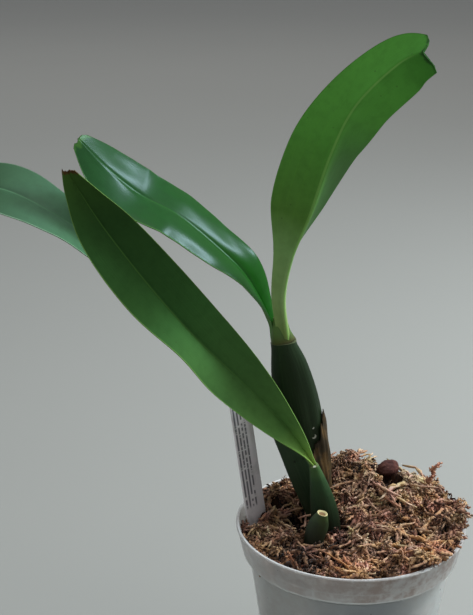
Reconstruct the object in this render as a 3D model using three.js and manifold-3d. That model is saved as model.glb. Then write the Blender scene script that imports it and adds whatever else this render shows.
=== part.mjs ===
import * as THREE from "three";
import { mergeVertices } from "three/addons/utils/BufferGeometryUtils.js";
import Module from "manifold-3d";

// A small orchid in a clear nursery pot of dried long-fibred moss. Millimetres, +Z up,
// origin at the middle of the pot's flat underside, -Y towards the viewer.

const wasm = await Module();
wasm.setup();

// Driving dimensions
const gap = 0.3; // clear space between pieces that touch
const pot = {
  height: 90,
  rimRadius: 50,
  collarHeight: 12.4,
  collarFootRadius: 47.2,
  shoulderHeight: 3,
  bodyTopRadius: 44,
  baseRadius: 33.3,
  wall: 1.2,
  chamfer: 1,
  lip: 0.4,
  rimBand: 0.8,
  rimRound: 0.3,
  innerStepHeight: 82.4,
  innerStep: 0.5,
  sides: 48,
};
const collarFoot = pot.height - pot.collarHeight;
const shoulderFoot = collarFoot - pot.shoulderHeight;
const stackingRibs = { count: 8, width: 0.9, depth: 1.1, foot: 1.9, head: 0.5, firstAngle: 22 };
const drainHoles = { count: 8, ring: 23, radius: 3.2, sides: 12 };
const moss = {
  clear: 0.4,
  edgeRadius: 44.9,
  wallLevel: 82.7,
  rightRise: 10.9,
  sides: 36,
  swellFrom: 84, // where its edge stands higher than this, it swells out to the collar
  swellOver: 3,
};
// The swelling, ring by ring: share of the way out, depth below the edge of the top, greatest height
const mossBrim = [
  [0, 1.5, pot.innerStepHeight],
  [1, 1, pot.innerStepHeight + 2 * moss.clear],
  [1, 0.5, Infinity],
  [0.85, 0, Infinity],
];
// Mounds and hollows of the moss: x, y, rise, spread
const mossMounds = [
  [-1.2, 34.8, 12.6, 16.6],
  [-39.4, 28.7, 12.9, 14.8],
  [20.8, 25.6, 6.3, 16.9],
  [33.7, -20.6, -5.1, 13.5],
  [6, -29.6, -2.4, 15.9],
  [-30.4, -20.9, 2.6, 7.2],
  [-16.4, -1.9, -5.2, 10.4],
];
const mossStrands = {
  count: 32,
  seed: 41,
  radius: [0.6, 0.95],
  length: [9, 20],
  arch: [2.8, 5.4],
  bend: 1.2,
  sunk: 1.8,
  thinning: 0.35,
  sides: 4,
  rings: 5,
};
const standingCurl = { x: 37.6, y: 19, height: 14.5, radius: 0.9, turns: 3, thickness: 0.8, lean: 4.6 };
const leafThickness = { ribAtFoot: 1.7, ribAtTip: 1, margin: 0.7, groove: 0.25 };
const leafColumns = [-1, -0.7, -0.38, -0.1, 0, 0.1, 0.38, 0.7, 1];
const leafRows = 22;

// Leaves. A station holds the rib point x, y, z, the half width along the blade, and in degrees
// the turn of the upper face about the rib, the fold of each half at the rib and its bend
// from there to the margin. Tip gives how far each line along the blade stops short, in mm.
const leafShapes = {
  leaf_front: {
    facing: [0, -1, 0.35],
    stations: [
      [-17.3, -8, 121.5, 1.1, 15, 66, -10],
      [-29.8, -9, 140.2, 8.7, -10, 53, -15],
      [-48.4, -11, 160.7, 12.1, -0.5, 29, -12],
      [-66.6, -12.5, 180, 14.2, 21, 33, -10],
      [-83.9, -14, 201.3, 14.4, 11, 26, -8],
      [-100.9, -15, 225, 11.6, 1, 20, -5],
      [-110.6, -16, 241.2, 6, -6, 18, 0],
      [-115.8, -16, 250.8, 1.5, -10, 15, 0],
    ],
    tip: [[-1, 2], [-0.7, 0], [-0.38, 1], [0, 3.5], [0.38, 4], [0.7, 4], [1, 6]],
    ripple: { waves: 3, height: 0.3 },
  },
  leaf_tall: {
    facing: [0.3, 1, 0],
    stations: [
      [-28.3, 13.2, 168.9, 3.5, 50, 52, -10],
      [-30.5, 11, 188.6, 4.7, 50, 55, -15],
      [-27.6, 7, 207.8, 7.5, 47, 50, -10],
      [-21, 2, 227, 16, 43, 42, -10],
      [-13.5, -9, 254.4, 16.8, 29, 32, -8],
      [-4.6, -15, 274, 14.1, 5, 28, -8],
      [9.7, -24, 290.3, 12.3, -13, 26, -3],
      [19.3, -31.5, 296.2, 8.2, -26, 32, 4.5],
    ],
    tip: [[-1, 1.2], [-0.7, 0.6], [-0.38, 1.3], [0, 2.5], [0.38, 0.8], [0.7, 1], [1, 3.8]],
    ripple: { waves: 2, height: 0.25 },
  },
  leaf_glossy: {
    facing: [0, -0.6, 1],
    stations: [
      [-33.4, 17.4, 168.7, 3.3, 54, 36, -10],
      [-35.4, 17.2, 178, 3.8, 37, 34, -25],
      [-45.2, 17, 196.5, 10, 17, 32, -28],
      [-57.7, 17, 209.9, 12.7, 10, 12, -20],
      [-74.5, 16.5, 224.1, 14.9, 7, 8, -15],
      [-89.8, 15, 232.9, 14.5, 0, 6, -10],
      [-102.6, 12.5, 244.6, 11.8, -4, -5, -5],
      [-113.6, 10, 257.1, 3.6, -12, -12, 0],
    ],
    tip: [[-1, 1.2], [-0.7, 0.2], [-0.38, 0.9], [0, 0], [0.7, 0.4], [1, 2]],
    ripple: { waves: 3, height: 0.4 },
  },
  leaf_far: {
    facing: [0, -0.5, 1],
    stations: [
      [-38.7, 4, 148.2, 3, -30, 50, -10],
      [-53.4, 4.5, 164, 5.3, -15, 35, -15],
      [-72.5, 5.5, 185, 8.8, -3, 20, -15],
      [-96.4, 7, 206, 12.2, 6, 12, -10],
      [-121, 8, 224.2, 13.4, 9, 10, -10],
      [-147.3, 11, 236.4, 14.5, -1, 8, -8],
      [-173.8, 13, 234.5, 3.2, -20, 5, 0],
    ],
    tip: [[-1, 2], [0, 0], [1, 2]],
    ripple: { waves: 2.5, height: 0.5 },
  },
};

// Stems. A station holds the axis point x, y, z and the half width and half depth there.
const stemFacing = [0, -1, 0];
const bulbPower = 0.9;
const stemShapes = {
  pseudobulb_back: [
    [-12, 19.5, 81.5, 4.6, 4.2],
    [-13.4, 19, 92, 6.1, 5.2],
    [-16.8, 18, 108, 8.4, 6.3],
    [-20.5, 17, 124, 9.9, 6.8],
    [-23.9, 16.3, 141, 9.9, 6.4],
    [-26.9, 15.5, 156, 8.1, 5.4],
    [-29.2, 15, 165.5, 5.8, 4.5],
    [-29.6, 15, 168.2, 5.6, 4.4],
  ],
  pseudobulb_left: [
    [-12.5, 7.4, 81.5, 3.8, 3.4],
    [-14.6, 7, 92, 5, 3.8],
    [-20, 6.4, 108, 6.3, 4.4],
    [-26, 5.6, 124, 6.2, 4.5],
    [-33.6, 4.6, 140, 4.9, 3.8],
    [-38.2, 4, 147.6, 3.6, 3],
  ],
  young_growth: [
    [-10.5, -5, 80, 5.2, 4.6],
    [-10.8, -5.4, 90, 6.1, 5],
    [-12.6, -6.2, 101, 5.6, 4.5],
    [-14.9, -7.2, 112, 3.7, 3.2],
    [-17, -8, 120.7, 1.9, 1.9],
  ],
  cut_stub: [
    [-17, -14, 80, 3.4, 2.6],
    [-16.6, -14, 88.6, 4.2, 3],
    [-15, -14.3, 95.5, 4.4, 2.8],
    [-13.4, -15.4, 101.6, 2.4, 2],
  ],
};

// Rhizome and roots, all inside the moss
const rhizome = [
  [-9.5, 25, 76.5, 2, 2],
  [-11, 19, 76.8, 3.4, 3.4],
  [-15.5, 12.5, 76.2, 3.4, 3.4],
  [-16, 3, 75.6, 3, 3],
  [-12.5, -6, 75.4, 3.2, 3.2],
  [-15, -13, 76, 2.6, 2.6],
  [-15, -16.5, 76, 1.4, 1.4],
];
const roots = {
  count: 6,
  seed: 7,
  radius: 1.1,
  spread: [14, 22],
  lowest: [12, 34],
  sway: 1,
  stations: 6,
  rings: 7,
  sides: 5,
};

// Papery sheath round the foot of the back pseudobulb: angle in degrees, height of its torn edge
const sheath = {
  clear: 0.4,
  wave: 0.25,
  thickness: 0.65,
  foot: 84,
  edge: [[-82, 113], [-66, 121], [-50, 124], [-38, 128], [-12, 134], [2, 129], [25, 114], [110, 98]],
  tear: 1.2,
  columns: 20,
  rows: 5,
};

const label = { width: 11.4, thickness: 0.9, yaw: 45, lean: -0.14, x: -40.5, y: 9, level: 84 };
const labelEnds = { point: 66, taper: 88, top: 158 };
const barkChip = { x: 20.2, y: 32, z: 99, size: [5.6, 3.4, 5], turn: 25 };

const colours = {
  pot: 0xd5dad8,
  moss: 0x8b6a4c,
  root: 0xcfc3a2,
  stem: 0x2c4a2b,
  stub: 0x3f5c33,
  sheath: 0x8a6a48,
  leafFront: 0x2b4a22,
  leafTall: 0x4d7a2a,
  leafGlossy: 0x2f6a33,
  leafFar: 0x3c6a4c,
  label: 0xb9b5bf,
  bark: 0x5b3128,
};

const degrees = Math.PI / 180;
const vector = ([x, y, z]) => new THREE.Vector3(x, y, z);

// Even random numbers from 0 to 1 that are the same in every run
function seeded(seed) {
  let state = seed;
  return () => {
    state = (state * 1664525 + 1013904223) % 4294967296;
    return state / 4294967296;
  };
}

function within([low, high], random) {
  return low + (high - low) * random();
}

// Smooth curve through rows of numbers, u from 0 at the first row to 1 at the last
function spline(rows, u) {
  const last = rows.length - 1;
  const place = Math.min(Math.max(u, 0), 1) * last;
  const i = Math.min(Math.floor(place), last - 1);
  const w = place - i;
  return rows[i].map((b, k) => {
    const c = rows[i + 1][k];
    const a = i > 0 ? rows[i - 1][k] : 2 * b - c;
    const d = i + 2 <= last ? rows[i + 2][k] : 2 * c - b;
    const leave = (c - a) / 2;
    const arrive = (d - b) / 2;
    const second = 3 * (c - b) - 2 * leave - arrive;
    const third = 2 * (b - c) + leave + arrive;
    return b + leave * w + second * w ** 2 + third * w ** 3;
  });
}

// Straight interpolation between [key, value] pairs
function between(keys, at) {
  const i = keys.findIndex(([key]) => key >= at);
  if (i === 0) return keys[0][1];
  if (i < 0) return keys[keys.length - 1][1];
  const [k0, v0] = keys[i - 1];
  const [k1, v1] = keys[i];
  return v0 + ((v1 - v0) * (at - k0)) / (k1 - k0);
}

// Sum of two directions in given amounts
function mix(a, ofA, b, ofB) {
  return a.clone().multiplyScalar(ofA).addScaledVector(b, ofB);
}

// Direction along the stations' curve, the facing direction square to it, and across
function frameAt(stations, facing, u) {
  const step = 0.001;
  const ahead = spline(stations, u + step).slice(0, 3);
  const behind = spline(stations, u - step).slice(0, 3);
  const along = vector(ahead).sub(vector(behind)).normalize();
  const up = vector(facing);
  up.addScaledVector(along, -up.dot(along)).normalize();
  const across = new THREE.Vector3().crossVectors(along, up);
  return { along, up, across };
}

function geometryOf(positions, faces) {
  const geometry = new THREE.BufferGeometry();
  geometry.setAttribute("position", new THREE.Float32BufferAttribute(positions, 3));
  geometry.setIndex(faces);
  return geometry;
}

function signedVolume(points, faces) {
  const corner = (k) => new THREE.Vector3().fromArray(points, 3 * k);
  let sum = 0;
  for (let i = 0; i < faces.length; i += 3) {
    const a = corner(faces[i]);
    sum += a.dot(corner(faces[i + 1]).cross(corner(faces[i + 2]))) / 6;
  }
  return sum;
}

// Closed geometry as a solid: only shared positions, no flat faces, all facing out
function solidOf(geometry) {
  const bare = new THREE.BufferGeometry();
  bare.setAttribute("position", geometry.getAttribute("position"));
  if (geometry.index) bare.setIndex(geometry.index);
  const merged = mergeVertices(bare, 0.001);
  const faces = [];
  const index = merged.index.array;
  for (let i = 0; i < index.length; i += 3) {
    const [a, b, c] = [index[i], index[i + 1], index[i + 2]];
    if (a !== b && b !== c && c !== a) faces.push(a, b, c);
  }
  const vertProperties = merged.getAttribute("position").array;
  if (signedVolume(vertProperties, faces) < 0) faces.reverse();
  return new wasm.Manifold(new wasm.Mesh({ numProp: 3, vertProperties, triVerts: new Uint32Array(faces) }));
}

// The largest body of a solid, without loose scraps
function mainBody(solid) {
  return solid.decompose().reduce((best, body) => (body.volume() > best.volume() ? body : best));
}

function geometryFrom(solid) {
  const mesh = solid.getMesh();
  return geometryOf(Array.from(mesh.vertProperties), Array.from(mesh.triVerts));
}

function piece(name, solid, colour, roughness, extra = {}) {
  const geometry = geometryFrom(solid);
  geometry.computeVertexNormals();
  const material = new THREE.MeshStandardMaterial({ color: colour, roughness, metalness: 0, ...extra });
  const mesh = new THREE.Mesh(geometry, material);
  mesh.name = name;
  return mesh;
}

// Solid between two matching grids of points, split into triangles alike on both faces
function shell(front, back) {
  const rows = front.length;
  const columns = front[0].length;
  const positions = [...front, ...back].flatMap((row) => row.flatMap((p) => p.toArray()));
  const faces = [];
  const at = (side, r, c) => (side * rows + r) * columns + c;
  const quad = (a, b, c, d) => faces.push(a, b, c, a, c, d);
  for (let r = 0; r + 1 < rows; r++) {
    for (let c = 0; c + 1 < columns; c++) {
      quad(at(0, r, c), at(0, r + 1, c), at(0, r + 1, c + 1), at(0, r, c + 1));
      faces.push(at(1, r, c), at(1, r + 1, c + 1), at(1, r + 1, c));
      faces.push(at(1, r, c), at(1, r, c + 1), at(1, r + 1, c + 1));
    }
    quad(at(0, r, 0), at(1, r, 0), at(1, r + 1, 0), at(0, r + 1, 0));
    const end = columns - 1;
    quad(at(0, r, end), at(0, r + 1, end), at(1, r + 1, end), at(1, r, end));
  }
  for (let c = 0; c + 1 < columns; c++) {
    quad(at(0, 0, c), at(0, 0, c + 1), at(1, 0, c + 1), at(1, 0, c));
    const end = rows - 1;
    quad(at(0, end, c), at(1, end, c), at(1, end, c + 1), at(0, end, c + 1));
  }
  return solidOf(geometryOf(positions, faces));
}

// Solid through closed rings of points, with a point in the middle of each end
function loft(rings) {
  const sides = rings[0].length;
  const middle = (ring) => ring.reduce((sum, p) => sum.add(p), new THREE.Vector3()).divideScalar(sides);
  const points = [...rings.flat(), middle(rings[0]), middle(rings[rings.length - 1])];
  const [first, last] = [points.length - 2, points.length - 1];
  const faces = [];
  for (let k = 0; k < sides; k++) {
    const n = (k + 1) % sides;
    const top = (rings.length - 1) * sides;
    faces.push(first, n, k, last, top + k, top + n);
    for (let r = 0; r + 1 < rings.length; r++) {
      const [low, high] = [r * sides, (r + 1) * sides];
      faces.push(low + k, low + n, high + n, low + k, high + n, high + k);
    }
  }
  return solidOf(geometryOf(points.flatMap((p) => p.toArray()), faces));
}

// The main direction furthest from the way the stations set out
function squareTo(stations) {
  const start = vector(stations[1]).sub(vector(stations[0]));
  const sizes = start.toArray().map(Math.abs);
  const least = sizes.indexOf(Math.min(...sizes));
  return [0, 1, 2].map((k) => (k === least ? 1 : 0));
}

// Place on an oval of size 1 at an angle; a power under 1 fills its corners out a little
function ovalPoint(angle, power) {
  return [Math.cos(angle), Math.sin(angle)].map((v) => Math.sign(v) * Math.abs(v) ** power);
}

// Share along the stations' curve at which it reaches a height
function shareAtHeight(stations, height) {
  let [low, high] = [0, 1];
  for (let k = 0; k < 20; k++) {
    const middle = (low + high) / 2;
    if (spline(stations, middle)[2] < height) low = middle;
    else high = middle;
  }
  return low;
}

// Oval stem through its stations; grow makes the wider one that cuts its hole. A limp one,
// such as a root, has no fixed facing and carries its frame along without twist.
function stem(stations, { grow = 0, rings = 12, sides = 14, power = 1, limp = false } = {}) {
  const list = [];
  let facing = limp ? squareTo(stations) : stemFacing;
  for (let i = 0; i <= rings; i++) {
    const u = i / rings;
    const [x, y, z, wide, deep] = spline(stations, u);
    const { along, up, across } = frameAt(stations, facing, u);
    if (limp) facing = up.toArray();
    const end = i === 0 ? -grow : i === rings ? grow : 0;
    const centre = new THREE.Vector3(x, y, z).addScaledVector(along, end);
    list.push(
      Array.from({ length: sides }, (_, k) => {
        const [c, s] = ovalPoint((2 * Math.PI * k) / sides, power);
        return centre
          .clone()
          .addScaledVector(across, c * (wide + grow))
          .addScaledVector(up, s * (deep + grow));
      }),
    );
  }
  return loft(list);
}

// Leaf blade through its stations: a channel along the rib above and a keel below
function leaf({ facing, stations, tip, ripple }) {
  const { ribAtFoot, ribAtTip, margin, groove } = leafThickness;
  const ends = vector(stations[0]).distanceTo(vector(stations[stations.length - 1]));
  const front = [];
  const back = [];
  for (let i = 0; i < leafRows; i++) {
    const share = 1 - (1 - i / (leafRows - 1)) ** 1.25;
    const frontRow = [];
    const backRow = [];
    for (const s of leafColumns) {
      const u = share * (1 - between(tip, s) / ends);
      const [x, y, z, wide, turn, fold, bend] = spline(stations, u);
      const { up, across } = frameAt(stations, facing, u);
      const angle = turn * degrees;
      const face = mix(up, Math.cos(angle), across, Math.sin(angle));
      const side = mix(across, Math.cos(angle), up, -Math.sin(angle));
      const hand = Math.sign(s);
      const start = fold * degrees;
      const turned = Math.abs(bend) < 0.1 ? 0.1 * degrees : bend * degrees;
      const slope = start + turned * Math.abs(s);
      const out = (wide * (Math.sin(slope) - Math.sin(start))) / turned;
      const wave = s ** 2 * Math.sin(Math.PI * u) * Math.sin(2 * Math.PI * ripple.waves * u + hand);
      const rise = (wide * (Math.cos(start) - Math.cos(slope))) / turned + ripple.height * wave;
      const normal = s === 0 ? face : mix(face, Math.cos(slope), side, -hand * Math.sin(slope));
      const rib = ribAtFoot + (ribAtTip - ribAtFoot) * u;
      const thick = margin + (rib - margin) * (1 - Math.abs(s)) ** 2;
      const sunk = s === 0 ? groove : 0;
      const surface = new THREE.Vector3(x, y, z).add(mix(side, hand * out, face, rise));
      frontRow.push(surface.clone().addScaledVector(normal, -sunk));
      backRow.push(surface.clone().addScaledVector(normal, -sunk - thick));
    }
    front.push(frontRow);
    back.push(backRow);
  }
  return shell(front, back);
}

// Radius of the pot's inside, below its shoulder
function potInside(z) {
  return pot.baseRadius - pot.wall + ((pot.bodyTopRadius - pot.baseRadius) * z) / shoulderFoot;
}

// Radius of the collar's inside, above its inner step
function collarInside(z) {
  const share = (Math.min(z, pot.height) - collarFoot) / pot.collarHeight;
  return pot.collarFootRadius + (pot.rimRadius - pot.collarFootRadius) * share - pot.wall;
}

function lathe(profile, sides) {
  const geometry = new THREE.LatheGeometry(profile.map(([r, z]) => new THREE.Vector2(r, z)), sides);
  geometry.rotateX(Math.PI / 2);
  return solidOf(geometry);
}

function makePot() {
  const { height, rimRadius, collarFootRadius, bodyTopRadius, baseRadius, wall, chamfer } = pot;
  const { lip, rimBand, rimRound, innerStep, innerStepHeight } = pot;
  const innerStepRadius = collarInside(innerStepHeight);
  let body = lathe(
    [
      [0, 0],
      [baseRadius - chamfer, 0],
      [baseRadius, chamfer],
      [bodyTopRadius, shoulderFoot],
      [collarFootRadius - chamfer, collarFoot - chamfer],
      [collarFootRadius, collarFoot + rimRound],
      [rimRadius - lip, height - rimBand - lip],
      [rimRadius, height - rimBand],
      [rimRadius - rimRound, height],
      [rimRadius - wall, height],
      [rimRadius - wall - rimRound, height - rimBand],
      [innerStepRadius, innerStepHeight],
      [innerStepRadius - innerStep, innerStepHeight - innerStep],
      [collarFootRadius - wall - innerStep, collarFoot + innerStep],
      [bodyTopRadius - wall, shoulderFoot + innerStep],
      [potInside(wall + chamfer), wall + chamfer],
      [baseRadius - wall - chamfer, wall],
      [0, wall],
    ],
    pot.sides,
  );
  const ribHeight = innerStepHeight - stackingRibs.head - shoulderFoot - stackingRibs.foot;
  for (let k = 0; k < stackingRibs.count; k++) {
    const angle = (stackingRibs.firstAngle + (360 / stackingRibs.count) * k) * degrees;
    const rib = new THREE.BoxGeometry(stackingRibs.depth, stackingRibs.width, ribHeight);
    rib.translate(collarFootRadius - wall - 0.1, 0, shoulderFoot + stackingRibs.foot + ribHeight / 2);
    body = body.add(solidOf(rib.rotateZ(angle)));
  }
  const { count, ring, radius, sides } = drainHoles;
  for (let k = 0; k < count; k++) {
    const angle = (360 / count) * k * degrees;
    const hole = new THREE.CylinderGeometry(radius, radius, 4 * wall, sides);
    hole.rotateX(Math.PI / 2);
    hole.translate(ring * Math.cos(angle), ring * Math.sin(angle), 0);
    body = body.subtract(solidOf(hole));
  }
  return body;
}

// Height of the moss at a place inside the rim
function mossHeight(x, y) {
  const radius = Math.hypot(x, y);
  const side = (moss.rightRise * (1 + x / moss.edgeRadius)) / 2;
  const lumps =
    1.1 * Math.sin(0.42 * x + 1) * Math.cos(0.37 * y) + 0.8 * Math.sin(0.8 * x - 0.62 * y + 2);
  const mounds = mossMounds.reduce(
    (sum, [mx, my, rise, spread]) => sum + rise * Math.exp(-((x - mx) ** 2 + (y - my) ** 2) / spread ** 2),
    0,
  );
  const edge = Math.min(1, Math.max(0, (moss.edgeRadius - radius) / 8 + 0.25));
  return moss.wallLevel + side + (lumps + mounds) * edge;
}

function mossPlug() {
  const around = (place) =>
    Array.from({ length: moss.sides }, (_, k) => {
      const angle = (2 * Math.PI * k) / moss.sides;
      const [radius, height] = place(Math.cos(angle), Math.sin(angle));
      const [x, y] = [radius * Math.cos(angle), radius * Math.sin(angle)];
      return new THREE.Vector3(x, y, height ?? mossHeight(x, y));
    });
  const ring = (radius, height) => around(() => [radius, height]);
  // Where the moss stands high at its edge, it swells out above the inner step to the collar
  const brim = ([share, below, highest]) =>
    around((c, s) => {
      const level = mossHeight(moss.edgeRadius * c, moss.edgeRadius * s);
      const swell = Math.min(1, Math.max(0, (level - moss.swellFrom) / moss.swellOver));
      const height = Math.min(highest, level - below);
      const room = Math.max(0, collarInside(height) - moss.clear - moss.edgeRadius);
      return [moss.edgeRadius + share * room * swell, height];
    });
  const bottom = pot.wall + moss.clear;
  const sideLevels = [bottom + 1.2, shoulderFoot / 2, shoulderFoot];
  const topShares = [0.99, 0.93, 0.83, 0.72, 0.61, 0.49, 0.37, 0.25, 0.12];
  return loft([
    ring(potInside(bottom) - moss.clear - 1.4, bottom),
    ...sideLevels.map((z) => ring(potInside(z) - moss.clear, z)),
    ring(moss.edgeRadius, collarFoot + 1.4),
    ...mossBrim.map(brim),
    ...topShares.map((share) => ring(moss.edgeRadius * share)),
  ]);
}

// One curled strand that leaves the moss, loops over and ends in it again
function strandStations(random) {
  const { thinning, sunk } = mossStrands;
  const length = within(mossStrands.length, random);
  const radius = within(mossStrands.radius, random);
  const reach = (moss.edgeRadius - 4 - length / 2) * Math.sqrt(random());
  const place = 2 * Math.PI * random();
  const heading = 2 * Math.PI * random();
  const bend = within([-mossStrands.bend, mossStrands.bend], random);
  const arch = within(mossStrands.arch, random);
  const count = 6;
  return Array.from({ length: count }, (_, i) => {
    const t = i / (count - 1);
    const angle = heading + bend * t;
    const x = reach * Math.cos(place) + length * (t - 0.5) * Math.cos(angle);
    const y = reach * Math.sin(place) + length * (t - 0.5) * Math.sin(angle);
    const taper = radius * (1 - thinning * t);
    return [x, y, mossHeight(x, y) - sunk + arch * Math.sin(Math.PI * t) ** 0.8, taper, taper];
  });
}

// Corkscrew strand that stands up out of the moss and leans over at its end
function curlStations() {
  const count = 16;
  const sunk = 3;
  const base = mossHeight(standingCurl.x, standingCurl.y) - sunk;
  return Array.from({ length: count }, (_, i) => {
    const t = i / (count - 1);
    const angle = 2 * Math.PI * standingCurl.turns * t;
    const radius = standingCurl.radius * Math.min(1, 3 * t);
    return [
      standingCurl.x + radius * Math.cos(angle) + standingCurl.lean * t ** 3,
      standingCurl.y + radius * Math.sin(angle),
      base + (standingCurl.height + sunk) * t,
      standingCurl.thickness,
      standingCurl.thickness,
    ];
  });
}

// One root that sets off sideways from the rhizome and runs down inside the pot
function rootStations(k, random) {
  const [sx, sy, sz] = spline(rhizome, (k + 0.8) / (roots.count + 0.6));
  const heading = (2 * Math.PI * (k * 0.38 + 0.1 * random())) % (2 * Math.PI);
  const spread = within(roots.spread, random);
  const sway = within([-roots.sway, roots.sway], random);
  const lowest = within(roots.lowest, random);
  return Array.from({ length: roots.stations }, (_, i) => {
    const t = i / (roots.stations - 1);
    const z = sz + (lowest - sz) * t;
    const swing = heading + sway * Math.sin(3 * t);
    const out = spread * Math.sin(1.9 * t);
    const x = sx * (1 - 0.5 * t) + out * Math.cos(swing);
    const y = sy * (1 - 0.5 * t) + out * Math.sin(swing);
    const limit = Math.min(1, (potInside(z) - 5) / Math.hypot(x, y));
    return [x * limit, y * limit, z, roots.radius, roots.radius];
  });
}

function makeRoots(grow) {
  const random = seeded(roots.seed);
  const { rings, sides } = roots;
  let solid = stem(rhizome, { grow, rings: 10, sides: 6, limp: true });
  for (let k = 0; k < roots.count; k++) {
    solid = solid.add(stem(rootStations(k, random), { grow, rings, sides, limp: true }));
  }
  return solid;
}

// Flat strip with a point at its foot, leaning over as it stands in the moss
function makeLabel(grow) {
  const half = label.width / 2 + grow;
  const outline = new THREE.Shape([
    new THREE.Vector2(-0.8 - grow, labelEnds.point - grow),
    new THREE.Vector2(0.8 + grow, labelEnds.point - grow),
    new THREE.Vector2(half, labelEnds.taper),
    new THREE.Vector2(half, labelEnds.top),
    new THREE.Vector2(-half, labelEnds.top),
    new THREE.Vector2(-half, labelEnds.taper),
  ]);
  const depth = label.thickness + 2 * grow;
  const strip = new THREE.ExtrudeGeometry(outline, { depth, bevelEnabled: false });
  strip.translate(0, 0, -depth / 2);
  strip.rotateX(Math.PI / 2);
  strip.rotateZ(label.yaw * degrees);
  const lean = new THREE.Matrix4().makeShear(0, 0, 0, 0, label.lean, 0);
  strip.translate(0, 0, -label.level);
  strip.applyMatrix4(lean);
  strip.translate(label.x, label.y, label.level);
  return solidOf(strip);
}

function makeBark(grow) {
  const chip = new THREE.IcosahedronGeometry(1, 2);
  const points = chip.getAttribute("position");
  for (let i = 0; i < points.count; i++) {
    const p = new THREE.Vector3().fromBufferAttribute(points, i);
    const rough = 1 + 0.1 * Math.sin(5 * p.x + 1) * Math.cos(4 * p.z) + 0.07 * Math.sin(7 * p.y + 3 * p.z);
    const [a, b, c] = barkChip.size;
    p.set(p.x * (a * rough + grow), p.y * (b * rough + grow), p.z * (c * rough + grow));
    points.setXYZ(i, p.x, p.y, p.z);
  }
  chip.rotateZ(barkChip.turn * degrees);
  chip.translate(barkChip.x, barkChip.y, barkChip.z);
  return solidOf(chip);
}

// Torn papery sleeve that follows the back pseudobulb a little way out
function makeSheath() {
  const stations = stemShapes.pseudobulb_back;
  const [first, last] = [sheath.edge[0][0], sheath.edge[sheath.edge.length - 1][0]];
  const grid = (out) =>
    Array.from({ length: sheath.rows }, (_, r) =>
      Array.from({ length: sheath.columns }, (_, c) => {
        const angle = first + ((last - first) * c) / (sheath.columns - 1);
        const tear = sheath.tear * (Math.sin(1.9 * c) + 0.7 * Math.sin(3.3 * c + 1));
        const top = between(sheath.edge, angle) + tear;
        const height = sheath.foot + ((top - sheath.foot) * r) / (sheath.rows - 1);
        const u = shareAtHeight(stations, height);
        const [x, y, z, wide, deep] = spline(stations, u);
        const { up, across } = frameAt(stations, stemFacing, u);
        const away = sheath.clear + out + sheath.wave * (1 + Math.sin(0.09 * angle + 0.3 * z));
        const [right, behind] = ovalPoint(angle * degrees, bulbPower);
        return new THREE.Vector3(x, y, z)
          .addScaledVector(across, (wide + away) * right)
          .addScaledVector(up, -(deep + away) * behind);
      }),
    );
  return shell(grid(sheath.thickness), grid(0));
}

const stems = {};
for (const [name, stations] of Object.entries(stemShapes)) {
  stems[name] = stem(stations, { power: bulbPower });
}

const sheathSolid = makeSheath();
let mossSolid = mossPlug();
const randomStrand = seeded(mossStrands.seed);
for (let k = 0; k < mossStrands.count; k++) {
  const stations = strandStations(randomStrand);
  const { rings, sides } = mossStrands;
  mossSolid = mossSolid.add(stem(stations, { rings, sides, limp: true }));
}
mossSolid = mossSolid.add(stem(curlStations(), { rings: 18, sides: 4, limp: true }));
for (const stations of Object.values(stemShapes)) {
  mossSolid = mossSolid.subtract(stem(stations, { grow: gap, power: bulbPower }));
}
const sheathRoom = 3 * gap + sheath.thickness + sheath.clear;
const cutters = [
  stem(stemShapes.pseudobulb_back, { grow: sheathRoom, power: bulbPower }),
  makeRoots(2 * gap),
  makeLabel(gap),
  makeBark(gap),
];
for (const cutter of cutters) mossSolid = mossSolid.subtract(cutter);
mossSolid = mainBody(mossSolid);

const root = new THREE.Group();
root.name = "potted_orchid";
const clear = { transparent: true, opacity: 0.55 };
root.add(piece("pot", makePot(), colours.pot, 0.35, clear));
root.add(piece("moss", mossSolid, colours.moss, 0.95));
root.add(piece("rhizome_roots", makeRoots(0), colours.root, 0.8));
root.add(piece("pseudobulb_back", stems.pseudobulb_back, colours.stem, 0.5));
root.add(piece("pseudobulb_left", stems.pseudobulb_left, colours.stem, 0.5));
root.add(piece("young_growth", stems.young_growth, colours.stem, 0.5));
root.add(piece("cut_stub", stems.cut_stub, colours.stub, 0.6));
root.add(piece("dry_sheath", sheathSolid, colours.sheath, 0.9));
root.add(piece("leaf_front", leaf(leafShapes.leaf_front), colours.leafFront, 0.45));
root.add(piece("leaf_tall", leaf(leafShapes.leaf_tall), colours.leafTall, 0.45));
root.add(piece("leaf_glossy", leaf(leafShapes.leaf_glossy), colours.leafGlossy, 0.3));
root.add(piece("leaf_far", leaf(leafShapes.leaf_far), colours.leafFar, 0.4));
root.add(piece("plant_label", makeLabel(0), colours.label, 0.6));
root.add(piece("bark_chip", makeBark(0), colours.bark, 0.9));

export default root;
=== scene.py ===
import math
from functools import partial

import bpy
import numpy as np
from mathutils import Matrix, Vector


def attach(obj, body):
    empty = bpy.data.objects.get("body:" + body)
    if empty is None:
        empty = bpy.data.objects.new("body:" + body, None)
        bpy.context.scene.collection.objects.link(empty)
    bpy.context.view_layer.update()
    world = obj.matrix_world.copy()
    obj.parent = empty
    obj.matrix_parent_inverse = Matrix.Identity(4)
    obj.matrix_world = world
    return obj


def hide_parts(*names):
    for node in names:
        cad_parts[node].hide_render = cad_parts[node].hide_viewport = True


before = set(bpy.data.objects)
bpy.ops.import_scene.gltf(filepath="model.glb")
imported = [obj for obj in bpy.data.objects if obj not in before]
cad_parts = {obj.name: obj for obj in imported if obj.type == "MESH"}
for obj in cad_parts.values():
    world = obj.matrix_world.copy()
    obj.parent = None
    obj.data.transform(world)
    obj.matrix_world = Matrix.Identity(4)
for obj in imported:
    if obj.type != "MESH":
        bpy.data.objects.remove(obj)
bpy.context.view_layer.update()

mm = 0.001  # shapes below are worked out in millimetres
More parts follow.
